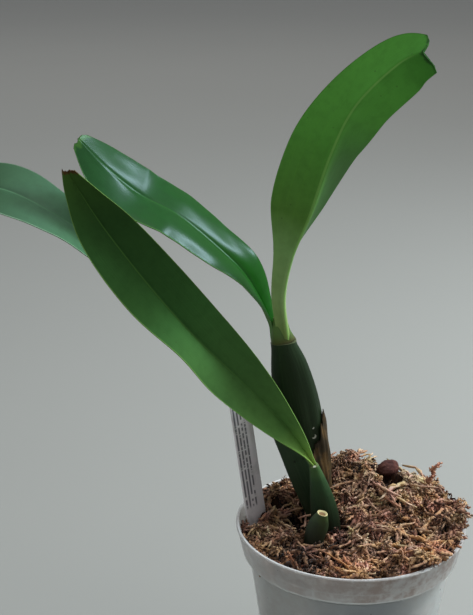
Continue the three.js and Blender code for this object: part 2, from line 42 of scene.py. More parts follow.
fullTurn = 2 * math.pi


def toLinear(hexColour):
    parts = [int(hexColour[i:i + 2], 16) / 255 for i in (1, 3, 5)]
    return tuple(c / 12.92 if c <= 0.04045 else ((c + 0.055) / 1.055) ** 2.4 for c in parts) + (1,)


# a socket takes a link from another node, a hex colour or a number
def fill(tree, socket, value):
    if isinstance(value, bpy.types.NodeSocket):
        tree.links.new(value, socket)
    else:
        socket.default_value = toLinear(value) if isinstance(value, str) else value


# adds a node: settings go to its properties and named inputs, values to its shown inputs in order,
# stops to its colour ramp; gives back its first shown output, or the one that out names
def addNode(tree, kind, *values, stops=(), out=None, **settings):
    node = tree.nodes.new("ShaderNode" + kind)
    for key, value in settings.items():
        if key in node.inputs:
            fill(tree, node.inputs[key], value)
        else:
            setattr(node, key, value)
    for socket, value in zip([s for s in node.inputs if s.enabled], values):
        fill(tree, socket, value)
    for k, (place, colour) in enumerate(stops):
        stop = node.color_ramp.elements[k] if k < 2 else node.color_ramp.elements.new(place)
        stop.position, stop.color = place, toLinear(colour)
    return node.outputs[out] if out else next(s for s in node.outputs if s.enabled)


# node settings that come up all the time
times, minus, absolute = ({"operation": name} for name in ("MULTIPLY", "SUBTRACT", "ABSOLUTE"))
eased = {"interpolation_type": "SMOOTHSTEP"}  # for map ranges: value, from, to, result at from and at to
paint = {"data_type": "RGBA"}  # for mixes: share, colour below, colour on top


def newMaterial(name):
    material = bpy.data.materials.new(name)
    material.use_nodes = True
    return material, partial(addNode, material.node_tree)


def setSurface(material, inputs):
    tree = material.node_tree
    for name, value in inputs.items():
        fill(tree, tree.nodes["Principled BSDF"].inputs[name], value)
    return material


# lays tints over a colour, each where its source goes from low to high, up to its share
def tinted(add, colour, *layers):
    for source, low, high, share, tint in layers:
        colour = add("Mix", add("MapRange", source, low, high, 0, share, **eased), colour, tint, **paint)
    return colour


# smooth curve through rows of numbers: u is 0 at the first row and 1 at the last
def smoothRows(rows, u):
    rows = np.asarray(rows, float)
    last = len(rows) - 1
    place = np.clip(u, 0, 1) * last
    i = np.minimum(place.astype(int), last - 1)
    w = (place - i)[..., None]
    b, c = rows[i], rows[i + 1]
    a = np.where((i > 0)[..., None], rows[np.maximum(i - 1, 0)], 2 * b - c)
    d = np.where((i + 2 <= last)[..., None], rows[np.minimum(i + 2, last)], 2 * c - b)
    leave, arrive = (c - a) / 2, (d - b) / 2
    second = 3 * (c - b) - 2 * leave - arrive
    third = 2 * (b - c) + leave + arrive
    return b + leave * w + second * w ** 2 + third * w ** 3


def unit(v):
    return v / np.maximum(np.linalg.norm(v, axis=-1, keepdims=True), 1e-9)


# directions along the curve of the rows, the facing direction square to it, and across
def framesAt(rows, facing, u):
    step = 0.001
    along = unit(smoothRows(rows, u + step)[..., :3] - smoothRows(rows, u - step)[..., :3])
    facing = np.asarray(facing, float)
    up = unit(facing - (along @ facing)[..., None] * along)
    return along, up, np.cross(along, up)


# place on an oval of size 1; a power under 1 fills its corners out a little
def ovalPoint(angle, power):
    c, s = np.cos(angle), np.sin(angle)
    return np.sign(c) * np.abs(c) ** power, np.sign(s) * np.abs(s) ** power


def gridFaces(rows, columns, start=0, closed=False, flip=False):
    r, c = np.meshgrid(np.arange(rows - 1), np.arange(columns if closed else columns - 1), indexing="ij")
    n = (c + 1) % columns
    quads = np.stack([r * columns + c, r * columns + n, (r + 1) * columns + n, (r + 1) * columns + c], -1)
    quads = quads.reshape(-1, 4) + start
    return quads[:, ::-1] if flip else quads


# rings of points joined up, with one face across each end
def ringFaces(rows, sides):
    return [gridFaces(rows, sides, closed=True), np.arange(sides)[None, ::-1],
            np.arange((rows - 1) * sides, rows * sides)[None]]


# closed skin between two matching grids of points
def skinFaces(rows, columns):
    size = rows * columns
    front = gridFaces(rows, columns, 0, flip=True)
    back = gridFaces(rows, columns, size)
    r, c = np.arange(rows - 1), np.arange(columns - 1)
    end = columns - 1
    left = np.stack([r * columns, (r + 1) * columns, (r + 1) * columns + size, r * columns + size], -1)
    right = np.stack([r * columns + end, r * columns + end + size,
                      (r + 1) * columns + end + size, (r + 1) * columns + end], -1)
    top = (rows - 1) * columns
    foot = np.stack([c, c + size, c + 1 + size, c + 1], -1)
    head = np.stack([top + c, top + c + 1, top + c + 1 + size, top + c + size], -1)
    return [front, back, left, right, foot, head]


# a mesh from points in millimetres; values are numbers at its points that its material reads
def makePiece(name, points, faces, material, slot, replaces=None, uv=None, values=None, smooth=True):
    mesh = bpy.data.meshes.new(name)
    mesh.from_pydata((np.asarray(points) * mm).tolist(), [], [f for part in faces for f in part.tolist()])
    mesh.validate()
    corners = np.empty(len(mesh.loops), int)
    mesh.loops.foreach_get("vertex_index", corners)
    if uv is not None:
        layer = mesh.uv_layers.new(name="UVMap")
        layer.data.foreach_set("uv", np.asarray(uv, np.float32)[corners].ravel())
    for key, numbers in (values or {}).items():
        layer = mesh.attributes.new(key, "FLOAT", "POINT")
        layer.data.foreach_set("value", np.asarray(numbers, np.float32).ravel())
    mesh.polygons.foreach_set("use_smooth", np.full(len(mesh.polygons), smooth))
    mesh.materials.append(material)
    piece = bpy.data.objects.new(name, mesh)
    bpy.context.scene.collection.objects.link(piece)
    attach(piece, "root")
    if replaces:
        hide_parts(replaces)
    return piece


# cheap smooth noise from a few sines, the same in each run
def ripples(x, y, size, seed):
    local = np.random.default_rng(seed)
    total = 0
    for k in range(6):
        angle, phase = local.uniform(0, fullTurn, 2)
        wave = fullTurn / (size * local.uniform(0.7, 1.6))
        total = total + np.sin((x * math.cos(angle) + y * math.sin(angle)) * wave + phase)
    return total / 6


# Leaves. Each row of a leaf is a place on its rib x, y, z, the half width, and in degrees the turn
# of the upper face, the fold of each half at the rib and its bend on the way to the margin.
# Tip is how far lines along the blade stop short, in millimetres.
leaves = {
    "leaf_front": {
        "piece": "darkFrontLeaf",
        "facing": [0, -1, 0.35],
        "rows": [
            [-17.3, -8, 121.5, 1.1, 15, 66, -10],
            [-29.8, -9, 140.2, 8.7, -10, 53, -15],
            [-48.4, -11, 160.7, 12.1, -0.5, 29, -12],
            [-66.6, -12.5, 180, 14.2, 21, 33, -10],
            [-83.9, -14, 201.3, 14.4, 11, 26, -8],
            [-100.9, -15, 225, 11.6, 1, 20, -5],
            [-110.6, -16, 241.2, 6, -6, 18, 0],
            [-115.8, -16, 250.8, 1.5, -10, 15, 0],
        ],
        "tip": [[-1, 1.2], [-0.8, -0.5], [-0.62, 1.8], [-0.3, 2.6], [0, 4.2], [0.3, 3.6], [0.6, 5], [1, 6]],
        "waves": 3, "waveHeight": 0.15, "torn": 1.8, "quilt": 0.08,
        "upper": [(0, "#a2c05e"), (0.06, "#82ae57"), (0.14, "#5b8544"), (0.28, "#466b37"),
                  (0.5, "#375e2e"), (0.75, "#2b4a22"), (1, "#385522")],
        "under": [(0, "#6d8c4c"), (0.5, "#4d7339"), (1, "#456632")],
        "rib": "#4c7434", "ribWidth": 0.01, "margin": "#6f8f48", "tipColour": "#4a2a1c", "tipFrom": 0.98,
        "shadeFrom": "#22401c", "shadeAcross": (0.45, 0.95), "shadeAmount": 0.15, "shadeEnd": (0.98, 0.6),
        "roughness": 0.6, "specular": 0.05, "coat": 0.0, "streaks": 0.25, "marks": [],
    },
    "leaf_tall": {
        "piece": "tallRightLeaf",
        "facing": [0.3, 1, 0],
        "rows": [
            [-28.3, 13.2, 168.9, 3.5, 50, 52, -10],
            [-30.5, 11, 188.6, 4.7, 50, 55, -15],
            [-27.6, 7, 207.8, 7.5, 47, 50, -10],
            [-21, 2, 227, 16, 43, 42, -10],
            [-13.5, -9, 254.4, 16.8, 29, 32, -8],
            [-4.6, -15, 274, 14.1, 5, 28, -8],
            [9.7, -24, 290.3, 12.3, -13, 26, -3],
            [19.3, -31.5, 296.2, 8.2, -26, 32, 4.5],
        ],
        "tip": [[-1, 1.2], [-0.7, 0.6], [-0.38, 1.3], [0, 2.5], [0.38, 0.8], [0.7, 1], [1, 3.8]],
        "waves": 2, "waveHeight": 0.2, "torn": 0.2, "quilt": 0.08,
        "upper": [(0, "#5c8440"), (0.4, "#3d6e2a"), (1, "#3f7a28")],
        # the underside grows brighter green towards the tip: painted light shining through the blade
        "under": [(0, "#7f914f"), (0.14, "#93af70"), (0.3, "#7fa663"), (0.42, "#578236"),
                  (0.6, "#56983b"), (0.8, "#58a03e"), (1, "#42842e")],
        "rib": "#84b85c", "ribWidth": 0.009, "margin": "#5f9a40", "tipColour": "#21401c", "tipFrom": 0.995,
        "shadeFrom": "#2c5a24", "shadeAcross": (0.52, 0.34), "shadeAmount": 0.8, "shadeEnd": (0.75, 0.45),
        "roughness": 0.52, "specular": 0.12, "coat": 0.0, "streaks": 0.3, "marks": [],
    },
    "leaf_glossy": {
        "piece": "glossyBackLeaf",
        "facing": [0, -0.6, 1],
        "rows": [
            [-33.4, 17.4, 168.7, 3.3, 54, 36, -10],
            [-35.4, 17.2, 178, 3.8, 37, 34, -25],
            [-45.2, 17, 196.5, 10, 17, 32, -28],
            [-57.7, 17, 209.9, 12.7, 10, 12, -20],
            [-74.5, 16.5, 224.1, 14.9, 7, 8, -15],
            [-89.8, 15, 232.9, 14.5, 0, 6, -10],
            [-102.6, 12.5, 244.6, 11.8, -4, -5, -5],
            [-113.6, 10, 257.1, 3.6, -12, -12, 0],
        ],
        "tip": [[-1, 1.2], [-0.7, 0.2], [-0.38, 0.9], [0, 0], [0.7, 0.4], [1, 2]],
        "waves": 3, "waveHeight": 0.3, "torn": 0.4, "quilt": 0.12,
        "upper": [(0, "#3c7a24"), (0.15, "#1d5917"), (0.4, "#1c4a16"), (0.75, "#1c491f"), (1, "#244c26")],
        "under": [(0, "#5a8440"), (1, "#4c743c")],
        "rib": "#2a5c24", "ribWidth": 0.012, "margin": "#5c8448", "tipColour": "#3f6a2c", "tipFrom": 0.985,
        "shadeFrom": "#1d4a1c", "shadeAcross": (0.55, 0.05), "shadeAmount": 0.25, "shadeEnd": (0.98, 0.6),
        "roughness": 0.42, "specular": 0.06, "coat": 0.3, "streaks": 0.2,
        "marks": [[-82.0, 15.2, 230.9, 1.5]],
    },
    "leaf_far": {
        "piece": "farLeftLeaf",
        "facing": [0, -0.5, 1],
        "rows": [
            [-38.7, 4, 148.2, 3, -30, 50, -10],
            [-53.4, 4.5, 164, 5.3, -15, 35, -15],
            [-72.5, 5.5, 185, 8.8, -3, 20, -15],
            [-96.4, 7, 206, 12.2, 6, 12, -10],
            [-121, 8, 224.2, 13.4, 9, 10, -10],
            [-147.3, 11, 236.4, 14.5, -1, 8, -8],
            [-173.8, 13, 234.5, 3.2, -20, 5, 0],
        ],
        "tip": [[-1, 2], [0, 0], [1, 2]],
        "waves": 2.5, "waveHeight": 0.5, "torn": 0.3, "quilt": 0.2,
        "upper": [(0, "#3a6428"), (0.3, "#37622f"), (0.5, "#497a50"), (0.7, "#476f51"), (0.85, "#2c5032")],
        "under": [(0, "#68865a"), (1, "#5a7a54")],
        # its pale margin is partly a painted highlight along its lit lower rim
        "rib": "#53805a", "ribWidth": 0.012, "margin": "#93b092", "tipColour": "#5a6a40", "tipFrom": 0.985,
        "shadeFrom": "#345c3c", "shadeAcross": (0.45, 0.95), "shadeAmount": 0.3, "shadeEnd": (0.98, 0.6),
        "roughness": 0.5, "specular": 0.34, "coat": 0.03, "streaks": 0.25, "marks": [],
    },
}
leafBody = {"ribAtFoot": 1.7, "ribAtTip": 1.0, "margin": 0.42, "groove": 0.25, "keel": 0.15,
            "rowCount": 130, "columnCount": 45, "footDrop": 1.4}


# small pale marks, each a place x, y, z and a radius in millimetres; a second circle beside the
# first leaves a crescent
def paleMarks(add, colour, marks):
    place = add("TexCoord", out="Object")
    for x, y, z, radius in marks:
        size = radius * mm
        middle = (x * mm, y * mm, z * mm)
        beside = (x * mm - 0.55 * size, y * mm, z * mm + 0.45 * size)
        inside, bitten = (add("VectorMath", place, at, operation="DISTANCE") for at in (middle, beside))
        mark = add("Math", add("MapRange", inside, size, 0.8 * size, 0, 0.8, **eased),
                   add("MapRange", bitten, 0.75 * size, size, **eased), **times)
        colour = add("Mix", mark, colour, "#c9c8b8", **paint)
    return colour


# living waxy orchid leaf: soft sheen from its cuticle, fine lengthwise veins 0.7 mm apart, a paler
# rib line and a thin light margin where the blade is cut thin, on the far leaf partly a painted highlight
def waxyLeaf(name, look):
    material, add = newMaterial("waxyOrchidLeaf_" + name)
    uv, place = add("UVMap"), add("TexCoord", out="Object")
    across, along = (add("SeparateXYZ", uv, out=axis) for axis in "XY")
    fromRib = add("Math", add("Math", add("Math", across, 0.5, **minus), **absolute), 2.0, **times)
    below = add("Attribute", attribute_name="below", out="Fac")
    colour = add("Mix", below, add("ValToRGB", along, stops=look["upper"]),
                 add("ValToRGB", along, stops=look["under"]), **paint)

    # painted shade: one side of the blade is darker than the other
    shade = add("MapRange", across, *look["shadeAcross"], 0, look["shadeAmount"], **eased)
    for low, high in ((0.05, 0.3), look["shadeEnd"]):
        shade = add("Math", shade, add("MapRange", along, low, high, **eased), **times)
    colour = add("Mix", shade, colour, look["shadeFrom"], **paint)

    # lengthwise veins: noise stretched along the blade, 40 to the width of 29 mm
    veins = add("TexNoise", add("Mapping", uv, Scale=(40, 1.2, 1)), Scale=1.0, Detail=3.0, Roughness=0.6)
    lighter = add("Mix", 1.0, colour, "#c8d0b8", blend_type="SOFT_LIGHT", **paint)
    colour = tinted(add, colour, (veins, 0.48, 0.72, look["streaks"], lighter))

    # cloudy change of colour over 4 mm, and dark specks under 1 mm across, 5.5 mm apart
    clouds = add("TexNoise", place, Scale=1000 / 4, Detail=3.0, Roughness=0.6)
    darker = add("Mix", 1.0, colour, "#77706a", blend_type="MULTIPLY", **paint)
    specks = add("TexVoronoi", place, Scale=1000 / 5.5)
    colour = tinted(add, colour, (clouds, 0.4, 0.7, 0.13, darker), (specks, 0.09, 0.05, 0.35, "#3a4a28"))

    # pale rib line, thin light margin, on the far leaf partly a painted highlight, and dried tip
    ribWidth, tipFrom = look["ribWidth"], look["tipFrom"]
    ribLine = add("Math", add("MapRange", fromRib, 2.6 * ribWidth, ribWidth, 0, 0.6, **eased),
                  add("MapRange", along, 0.99, 0.85, **eased), **times)
    colour = add("Mix", ribLine, colour, look["rib"], **paint)
    uneven = add("Math", along, add("Math", add("Math", clouds, 0.5, **minus), 0.05, **times))
    colour = tinted(add, colour, (fromRib, 0.965, 0.995, 0.6, look["margin"]),
                    (uneven, tipFrom - 0.012, tipFrom + 0.006, 0.85, look["tipColour"]))

    smear = add("TexNoise", place, Scale=1000 / 20, Detail=3.0)
    grain = add("TexNoise", place, Scale=1000 / 0.9, Detail=2.0)
    height = add("Math", veins, add("Math", grain, 0.25, **times))
    return setSurface(material, {
        "Base Color": paleMarks(add, colour, look["marks"]),
        "Roughness": add("MapRange", smear, 0, 1, look["roughness"] - 0.06, look["roughness"] + 0.12),
        "Normal": add("Bump", Strength=0.25, Distance=0.25 * mm, Height=height),
        "IOR": 1.42, "Specular IOR Level": look["specular"],
        "Coat Weight": look["coat"], "Coat Roughness": 0.235})


# place and upper-face direction at u along the rib and s across, -1 to 1
def leafSurface(look, u, s):
    values = smoothRows(look["rows"], u)
    along, up, across = framesAt(look["rows"], look["facing"], u)
    wide = values[..., 3]
    turn, fold, bend = (np.radians(values[..., k]) for k in (4, 5, 6))
    turned = np.where(np.abs(bend) < math.radians(0.1), math.radians(0.1), bend)
    face = up * np.cos(turn)[..., None] + across * np.sin(turn)[..., None]
    side = across * np.cos(turn)[..., None] - up * np.sin(turn)[..., None]
    size, hand = np.abs(s), np.sign(s)
    slope = fold + turned * size
    out = wide * (np.sin(slope) - np.sin(fold)) / turned
    swing = np.sin(math.pi * u)
    # the margin waves, with a finer wave on it, and the blade is faintly quilted
    wave = look["waveHeight"] * size ** 2 * swing * np.sin(fullTurn * look["waves"] * u + hand)
    finer = np.sin(8.3 * math.pi * look["waves"] * u + 2.1 * hand)
    wave = wave + 0.2 * look["waveHeight"] * size ** 4 * swing * finer
    quilt = np.sin(2.6 * math.pi * size) * np.sin(fullTurn * 2.3 * u + 2.5 * hand)
    rise = wide * (np.cos(fold) - np.cos(slope)) / turned + wave + look["quilt"] * swing * quilt
    blur = np.clip(size / 0.04, 0, 1)  # the two halves meet in a soft line at the rib
    normal = unit(face * np.cos(slope)[..., None] - side * (hand * np.sin(slope) * blur)[..., None])
    points = values[..., :3] + side * (hand * out)[..., None] + face * rise[..., None]
    return points, normal


def makeLeaf(node, look):
    rowCount, columnCount = leafBody["rowCount"], leafBody["columnCount"]
    t = np.linspace(-1, 1, columnCount)
    s = np.sign(t) * (0.75 * np.abs(t) + 0.25 * np.sin(np.abs(t) * math.pi / 2))
    # each line along the blade stops short at the tip, where a torn one is jagged
    cut = np.interp(s, *np.transpose(look["tip"]))
    jag = np.random.default_rng(len(node)).uniform(0, 1, columnCount)
    cut = cut + look["torn"] * jag * (0.4 + 0.6 * np.abs(np.sin(9 * s)))
    rows = np.asarray(look["rows"], float)
    ends = np.linalg.norm(rows[0, :3] - rows[-1, :3])
    share = 1 - (1 - np.linspace(0, 1, rowCount)) ** 1.25
    u = share[:, None] * (1 - cut / ends)[None, :]
    sGrid = np.broadcast_to(s, u.shape)
    points, normal = leafSurface(look, u, sGrid)
    rootward = unit(rows[0, :3] - rows[1, :3]) * leafBody["footDrop"]
    points = points + rootward * (np.clip(1 - share / 0.03, 0, 1) ** 2)[:, None, None]
    rib = leafBody["ribAtFoot"] + (leafBody["ribAtTip"] - leafBody["ribAtFoot"]) * u
    thick = leafBody["margin"] + (rib - leafBody["margin"]) * (1 - np.abs(sGrid)) ** 2
    groove = leafBody["groove"] * np.exp(-(sGrid / 0.05) ** 2)
    keel = leafBody["keel"] * np.exp(-(sGrid / 0.06) ** 2)
    front = (points - normal * groove[..., None]).reshape(-1, 3)
    back = (points - normal * (thick + keel)[..., None]).reshape(-1, 3)
    flat = np.stack([(sGrid + 1) / 2, np.broadcast_to(share[:, None], u.shape)], -1).reshape(-1, 2)
    makePiece(look["piece"], np.concatenate([front, back]), skinFaces(rowCount, columnCount),
              waxyLeaf(look["piece"], look), node, node, np.concatenate([flat, flat]),
              {"below": np.repeat([0.0, 1.0], len(front))})


for node, look in leaves.items():
    makeLeaf(node, look)
print("leaves made")


# Stems. Each row is a place on the axis x, y, z, the half width and the half depth.
stemFacing = [0, -1, 0]
bulbPower = 0.9
# skins run from foot to top; the dark feet of the young growth and the left pseudobulb are painted shade low
# among the moss
stems = {
    "pseudobulb_back": {
        "piece": "oldPseudobulb", "slot": "old_bulb",
        "rows": [
            [-12, 19.5, 81.5, 4.6, 4.2], [-13.4, 19, 92, 6.1, 5.2], [-16.8, 18, 108, 8.4, 6.3],
            [-20.5, 17, 124, 9.9, 6.8], [-23.9, 16.3, 141, 9.9, 6.4], [-26.9, 15.5, 156, 8.1, 5.4],
            [-29.2, 15, 165.5, 5.8, 4.5], [-29.6, 15, 168.2, 5.6, 4.4],
        ],
        "furrows": 9, "furrowDepth": 0.012, "scar": 0.03,
        "skin": [(0, "#1a2014"), (0.25, "#1b2714"), (0.7, "#1c2a16"), (1, "#263720")], "spots": 0.4,
        "marks": [[-15.8, 11.0, 125.2, 1.15], [-16.3, 11.0, 129.3, 0.55]],
    },
    "pseudobulb_left": {
        "piece": "leftPseudobulb", "slot": "left_bulb",
        "rows": [
            [-12.5, 7.4, 81.5, 3.8, 3.4], [-14.6, 7, 92, 5, 3.8], [-20, 6.4, 108, 6.3, 4.4],
            [-26, 5.6, 124, 6.2, 4.5], [-33.6, 4.6, 140, 4.9, 3.8], [-38.2, 4, 147.6, 3.6, 3],
        ],
        "furrows": 7, "furrowDepth": 0.02, "scar": 0.03,
        "skin": [(0, "#171a12"), (0.25, "#22301d"), (0.6, "#2b3e28"), (1, "#304a2c")], "spots": 0.8,
        "marks": [],
    },
    "young_growth": {
        "piece": "youngGrowth", "slot": "young_stem",
        "rows": [
            [-10.5, -5, 80, 5.2, 4.6], [-10.8, -5.4, 90, 6.1, 5], [-12.6, -6.2, 101, 5.6, 4.5],
            [-14.9, -7.2, 112, 3.7, 3.2], [-17, -8, 120.7, 1.9, 1.9],
        ],
        "furrows": 5, "furrowDepth": 0.02, "scar": 0.02,
        "skin": [(0, "#0f120c"), (0.3, "#141c10"), (0.5, "#20301c"), (0.8, "#2b4526"), (1, "#4a6a38")],
        "spots": 0.3, "marks": [[-16.9, -9.8, 121.0, 0.8]],
    },
    "leaf_feet": {
        "piece": "leafFootSheath", "slot": "old_bulb",
        "rows": [
            [-29.6, 15, 168, 5.5, 4.3], [-30.2, 15, 170, 4.8, 3.7], [-30.8, 15, 172.5, 4.1, 2.9],
            [-31.2, 15.2, 176, 3.4, 2.3], [-31.6, 15.5, 179, 2.7, 1.7],
        ],
        "furrows": 3, "furrowDepth": 0.04, "scar": 0.02,
        "skin": [(0, "#3a3620"), (0.12, "#4c5028"), (0.5, "#55703a"), (1, "#5f7f42")], "spots": 0.2,
        "marks": [],
    },
}


# living pseudobulb skin: smooth and faintly waxy, with 46 fine lengthwise lines, about 1 mm apart,
# and darker freckles of a millimetre
def bulbSkin(name, look):
    material, add = newMaterial("pseudobulbSkin_" + name)
    uv, place = add("UVMap"), add("TexCoord", out="Object")
    along = add("SeparateXYZ", uv, out="Y")
    lines = add("TexNoise", add("Mapping", uv, Scale=(46, 3.0, 1)), Scale=1.0, Detail=3.0)
    freckles = add("TexVoronoi", place, Scale=1000 / 2.6)
    patch = add("TexNoise", place, Scale=1000 / 9, Detail=2.0)
    colour = tinted(add, add("ValToRGB", along, stops=look["skin"]), (lines, 0.5, 0.75, 0.15, "#4c6040"))
    dark = add("Math", add("MapRange", freckles, 0.28, 0.12, 0, look["spots"], **eased),
               add("MapRange", patch, 0.45, 0.6, **eased), **times)
    colour = add("Mix", dark, colour, "#171c12", **paint)
    colour = tinted(add, colour, (patch, 0.5, 0.8, 0.35, "#1d2917"),
                    (along, 1 - look["scar"], 1.0, 0.6, "#6d7350"))
    return setSurface(material, {
        "Base Color": paleMarks(add, colour, look["marks"]),
        "Roughness": add("MapRange", patch, 0, 1, 0.42, 0.6),
        "Normal": add("Bump", Strength=0.4, Distance=0.3 * mm, Height=lines),
        "IOR": 1.42, "Specular IOR Level": 0.25})


def stemRings(rows, ringCount, sideCount, furrows, depth):
    u = np.linspace(0, 1, ringCount)
    values = smoothRows(rows, u)
    _, up, across = framesAt(rows, stemFacing, u)
    angle = np.linspace(0, fullTurn, sideCount, endpoint=False)
    c, s = ovalPoint(angle, bulbPower)
    spiral = np.sin(furrows * angle[None, :] + 2.5 * u[:, None])
    swell = 1 + depth * spiral * np.sin(math.pi * u[:, None]) ** 0.5
    reachOut = (values[:, 3, None] * c * swell)[..., None] * across[:, None, :]
    reachUp = (values[:, 4, None] * s * swell)[..., None] * up[:, None, :]
    return values[:, None, :3] + reachOut + reachUp, u, angle


# closes rings with smaller ones: shares of the last ring's size, each lifted along the axis
def closedRings(rings, u, angle, heads):
    first, last = rings[0], rings[-1]
    axis = unit(last.mean(0) - rings[-2].mean(0))
    tops = [last.mean(0) + (last - last.mean(0)) * share + axis * lift for share, lift in heads]
    feet = [first.mean(0) + (first - first.mean(0)) * share for share in (0.02, 0.5)]
    points = np.concatenate([np.array(feet), rings, np.array(tops)])
    along = np.concatenate([[u[0]] * len(feet), u, [u[-1]] * len(tops)])
    flat = np.stack(np.broadcast_arrays(angle[None, :] / fullTurn, along[:, None]), -1)
    return points, flat.reshape(-1, 2)


def makeStem(node, look, ringCount=90, sideCount=64, dome=0.6):
    rings, u, angle = stemRings(look["rows"], ringCount, sideCount, look["furrows"], look["furrowDepth"])
    shares = (0.93, 0.75, 0.5, 0.25, 0.02)
    heads = [(share, dome * (math.sqrt(1 - share ** 2) - 0.4)) for share in shares]
    points, flat = closedRings(rings, u, angle, heads)
    makePiece(look["piece"], points.reshape(-1, 3), ringFaces(*points.shape[:2]),
              bulbSkin(look["piece"], look), look["slot"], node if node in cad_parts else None, flat)


for node, look in stems.items():
    makeStem(node, look)


# cut stub; heads are the rings of the cut end: share of the size, lift and how much it is bare tissue
stub = {
    "rows": [
        [-17, -14, 80, 3.4, 2.6], [-16.6, -14, 88.6, 4.2, 3], [-15, -14.3, 95.5, 4.4, 2.8],
        [-13.4, -15.4, 101.6, 2.4, 2],
    ],
    "heads": [
        (0.96, 0.16, 0.3), (0.9, 0.22, 1), (0.82, 0.16, 1), (0.73, -0.05, 1), (0.6, -0.35, 0.45),
        (0.35, -0.5, 0.4), (0.02, -0.35, 0.4),
    ],
    "ringCount": 60, "sideCount": 56, "furrows": 4, "furrowDepth": 0.02,
    # its dark foot is painted shade low among the moss
    "skin": [(0, "#12160d"), (0.4, "#1c2615"), (0.75, "#2a3c20"), (1, "#41562e")],
    "ring": "#cdc08c", "middle": "#7a5c3a",
}


# fresh cut across a green shoot: a cream ring of cut wall and a tan, sunken pith
def cutTissue():
    material, add = newMaterial("cutStubTissue")
    along = add("SeparateXYZ", add("UVMap"), out="Y")
    mottle = add("TexNoise", add("TexCoord", out="Object"), Scale=1000 / 2.5, Detail=3.0)
    skin = tinted(add, add("ValToRGB", along, stops=stub["skin"]), (mottle, 0.45, 0.7, 0.5, "#23291a"))
    bare = add("Attribute", attribute_name="cut", out="Fac")
    inside = add("ValToRGB", bare, stops=[
        (0, stub["middle"]), (0.42, stub["middle"]), (0.7, stub["ring"]), (1, stub["ring"])])
    inside = tinted(add, inside, (mottle, 0.5, 0.7, 0.3, "#5f4327"))
    return setSurface(material, {
        "Base Color": tinted(add, skin, (bare, 0.15, 0.35, 1, inside)), "Roughness": 0.55,
        "Normal": add("Bump", Strength=0.4, Distance=0.3 * mm, Height=mottle)})


def makeStub():
    shape = (stub[key] for key in ("rows", "ringCount", "sideCount", "furrows", "furrowDepth"))
    rings, u, angle = stemRings(*shape)
    points, flat = closedRings(rings, u, angle, [head[:2] for head in stub["heads"]])
    cut = np.concatenate([np.zeros(2 + len(u)), [head[2] for head in stub["heads"]]])
    makePiece("cutStub", points.reshape(-1, 3), ringFaces(*points.shape[:2]), cutTissue(), "stub",
              "cut_stub", flat, {"cut": np.repeat(cut, stub["sideCount"])})


makeStub()
print("stems made")


# papery sheath round the foot of the old pseudobulb; edge gives its height at degrees round the stem
sheath = {
    "clear": 0.45, "wave": 0.25, "thickness": 0.42, "foot": 84.0, "tear": 1.2, "jag": 0.55,
    "edge": [[-82, 113], [-66, 121], [-50, 124], [-38, 128], [-12, 134], [2, 129], [25, 114], [110, 98]],
    "columns": 170, "rows": 60,
    "pale": "#6a4e24", "brown": "#463318", "dark": "#251c0f", "stain": "#2a2314",
}


# dead bract: dry and fibrous, with lengthwise fibres drawn 0.8 mm apart, coarser than the real ones
# to show, dark stains and dark torn edges
def paperySheath():
    material, add = newMaterial("dryPaperySheath")
    uv, place = add("UVMap"), add("TexCoord", out="Object")
    fibres = add("TexNoise", add("Mapping", uv, Scale=(38, 3.4, 1)), Scale=1.0, Detail=4.0, Roughness=0.65)
    colour = add("ValToRGB", fibres, stops=[
        (0.1, sheath["dark"]), (0.45, sheath["brown"]), (0.8, sheath["pale"])])
    patch = add("TexNoise", place, Scale=1000 / 5, Detail=4.0)
    rise = add("SeparateXYZ", uv, out="Y")
    colour = tinted(add, colour, (patch, 0.42, 0.6, 0.8, sheath["stain"]),
                    (rise, 0.93, 1.0, 0.6, sheath["dark"]))
    return setSurface(material, {
        "Base Color": colour, "Roughness": 0.8,
        "Normal": add("Bump", Strength=0.5, Distance=0.4 * mm, Height=fibres)})


def makeSheath():
    stations = np.asarray(stems["pseudobulb_back"]["rows"], float)
    fine = np.linspace(0, 1, 2000)
    heights = smoothRows(stations, fine)[:, 2]
    rows, columns = sheath["rows"], sheath["columns"]
    degreesRound = np.linspace(sheath["edge"][0][0], sheath["edge"][-1][0], columns)
    at = np.arange(columns) / ((columns - 1) / 19)  # the source counts 20 columns, and tears follow that
    tear = sheath["tear"] * (np.sin(1.9 * at) + 0.7 * np.sin(3.3 * at + 1))
    jag = np.random.default_rng(5).normal(0, sheath["jag"], columns)
    top = np.interp(degreesRound, *np.transpose(sheath["edge"])) + tear + jag
    rise = np.linspace(0, 1, rows)[:, None]
    u = np.interp(sheath["foot"] + (top - sheath["foot"]) * rise, heights, fine)
    values = smoothRows(stations, u)
    _, up, across = framesAt(stations, stemFacing, u)
    radians = np.radians(degreesRound)
    c, s = ovalPoint(radians, bulbPower)
    fold = 0.12 * np.sin(22 * radians)[None, :] * rise + 0.25 * rise ** 3 * np.sin(7 * radians)[None, :]
    wave = sheath["wave"] * (1 + np.sin(0.09 * degreesRound + 0.3 * values[..., 2]))
    grids = []
    for out in (sheath["thickness"], 0.0):
        away = sheath["clear"] + out + wave + fold
        right = ((values[..., 3] + away) * c)[..., None] * across
        behind = ((values[..., 4] + away) * s)[..., None] * up
        grids.append((values[..., :3] + right - behind).reshape(-1, 3))
    flat = np.stack(np.broadcast_arrays(np.linspace(0, 1, columns)[None, :], rise), -1).reshape(-1, 2)
    makePiece("dryPaperSheath", np.concatenate(grids), skinFaces(rows, columns), paperySheath(), "dry_sheath",
              "dry_sheath", np.concatenate([flat, flat]))


makeSheath()


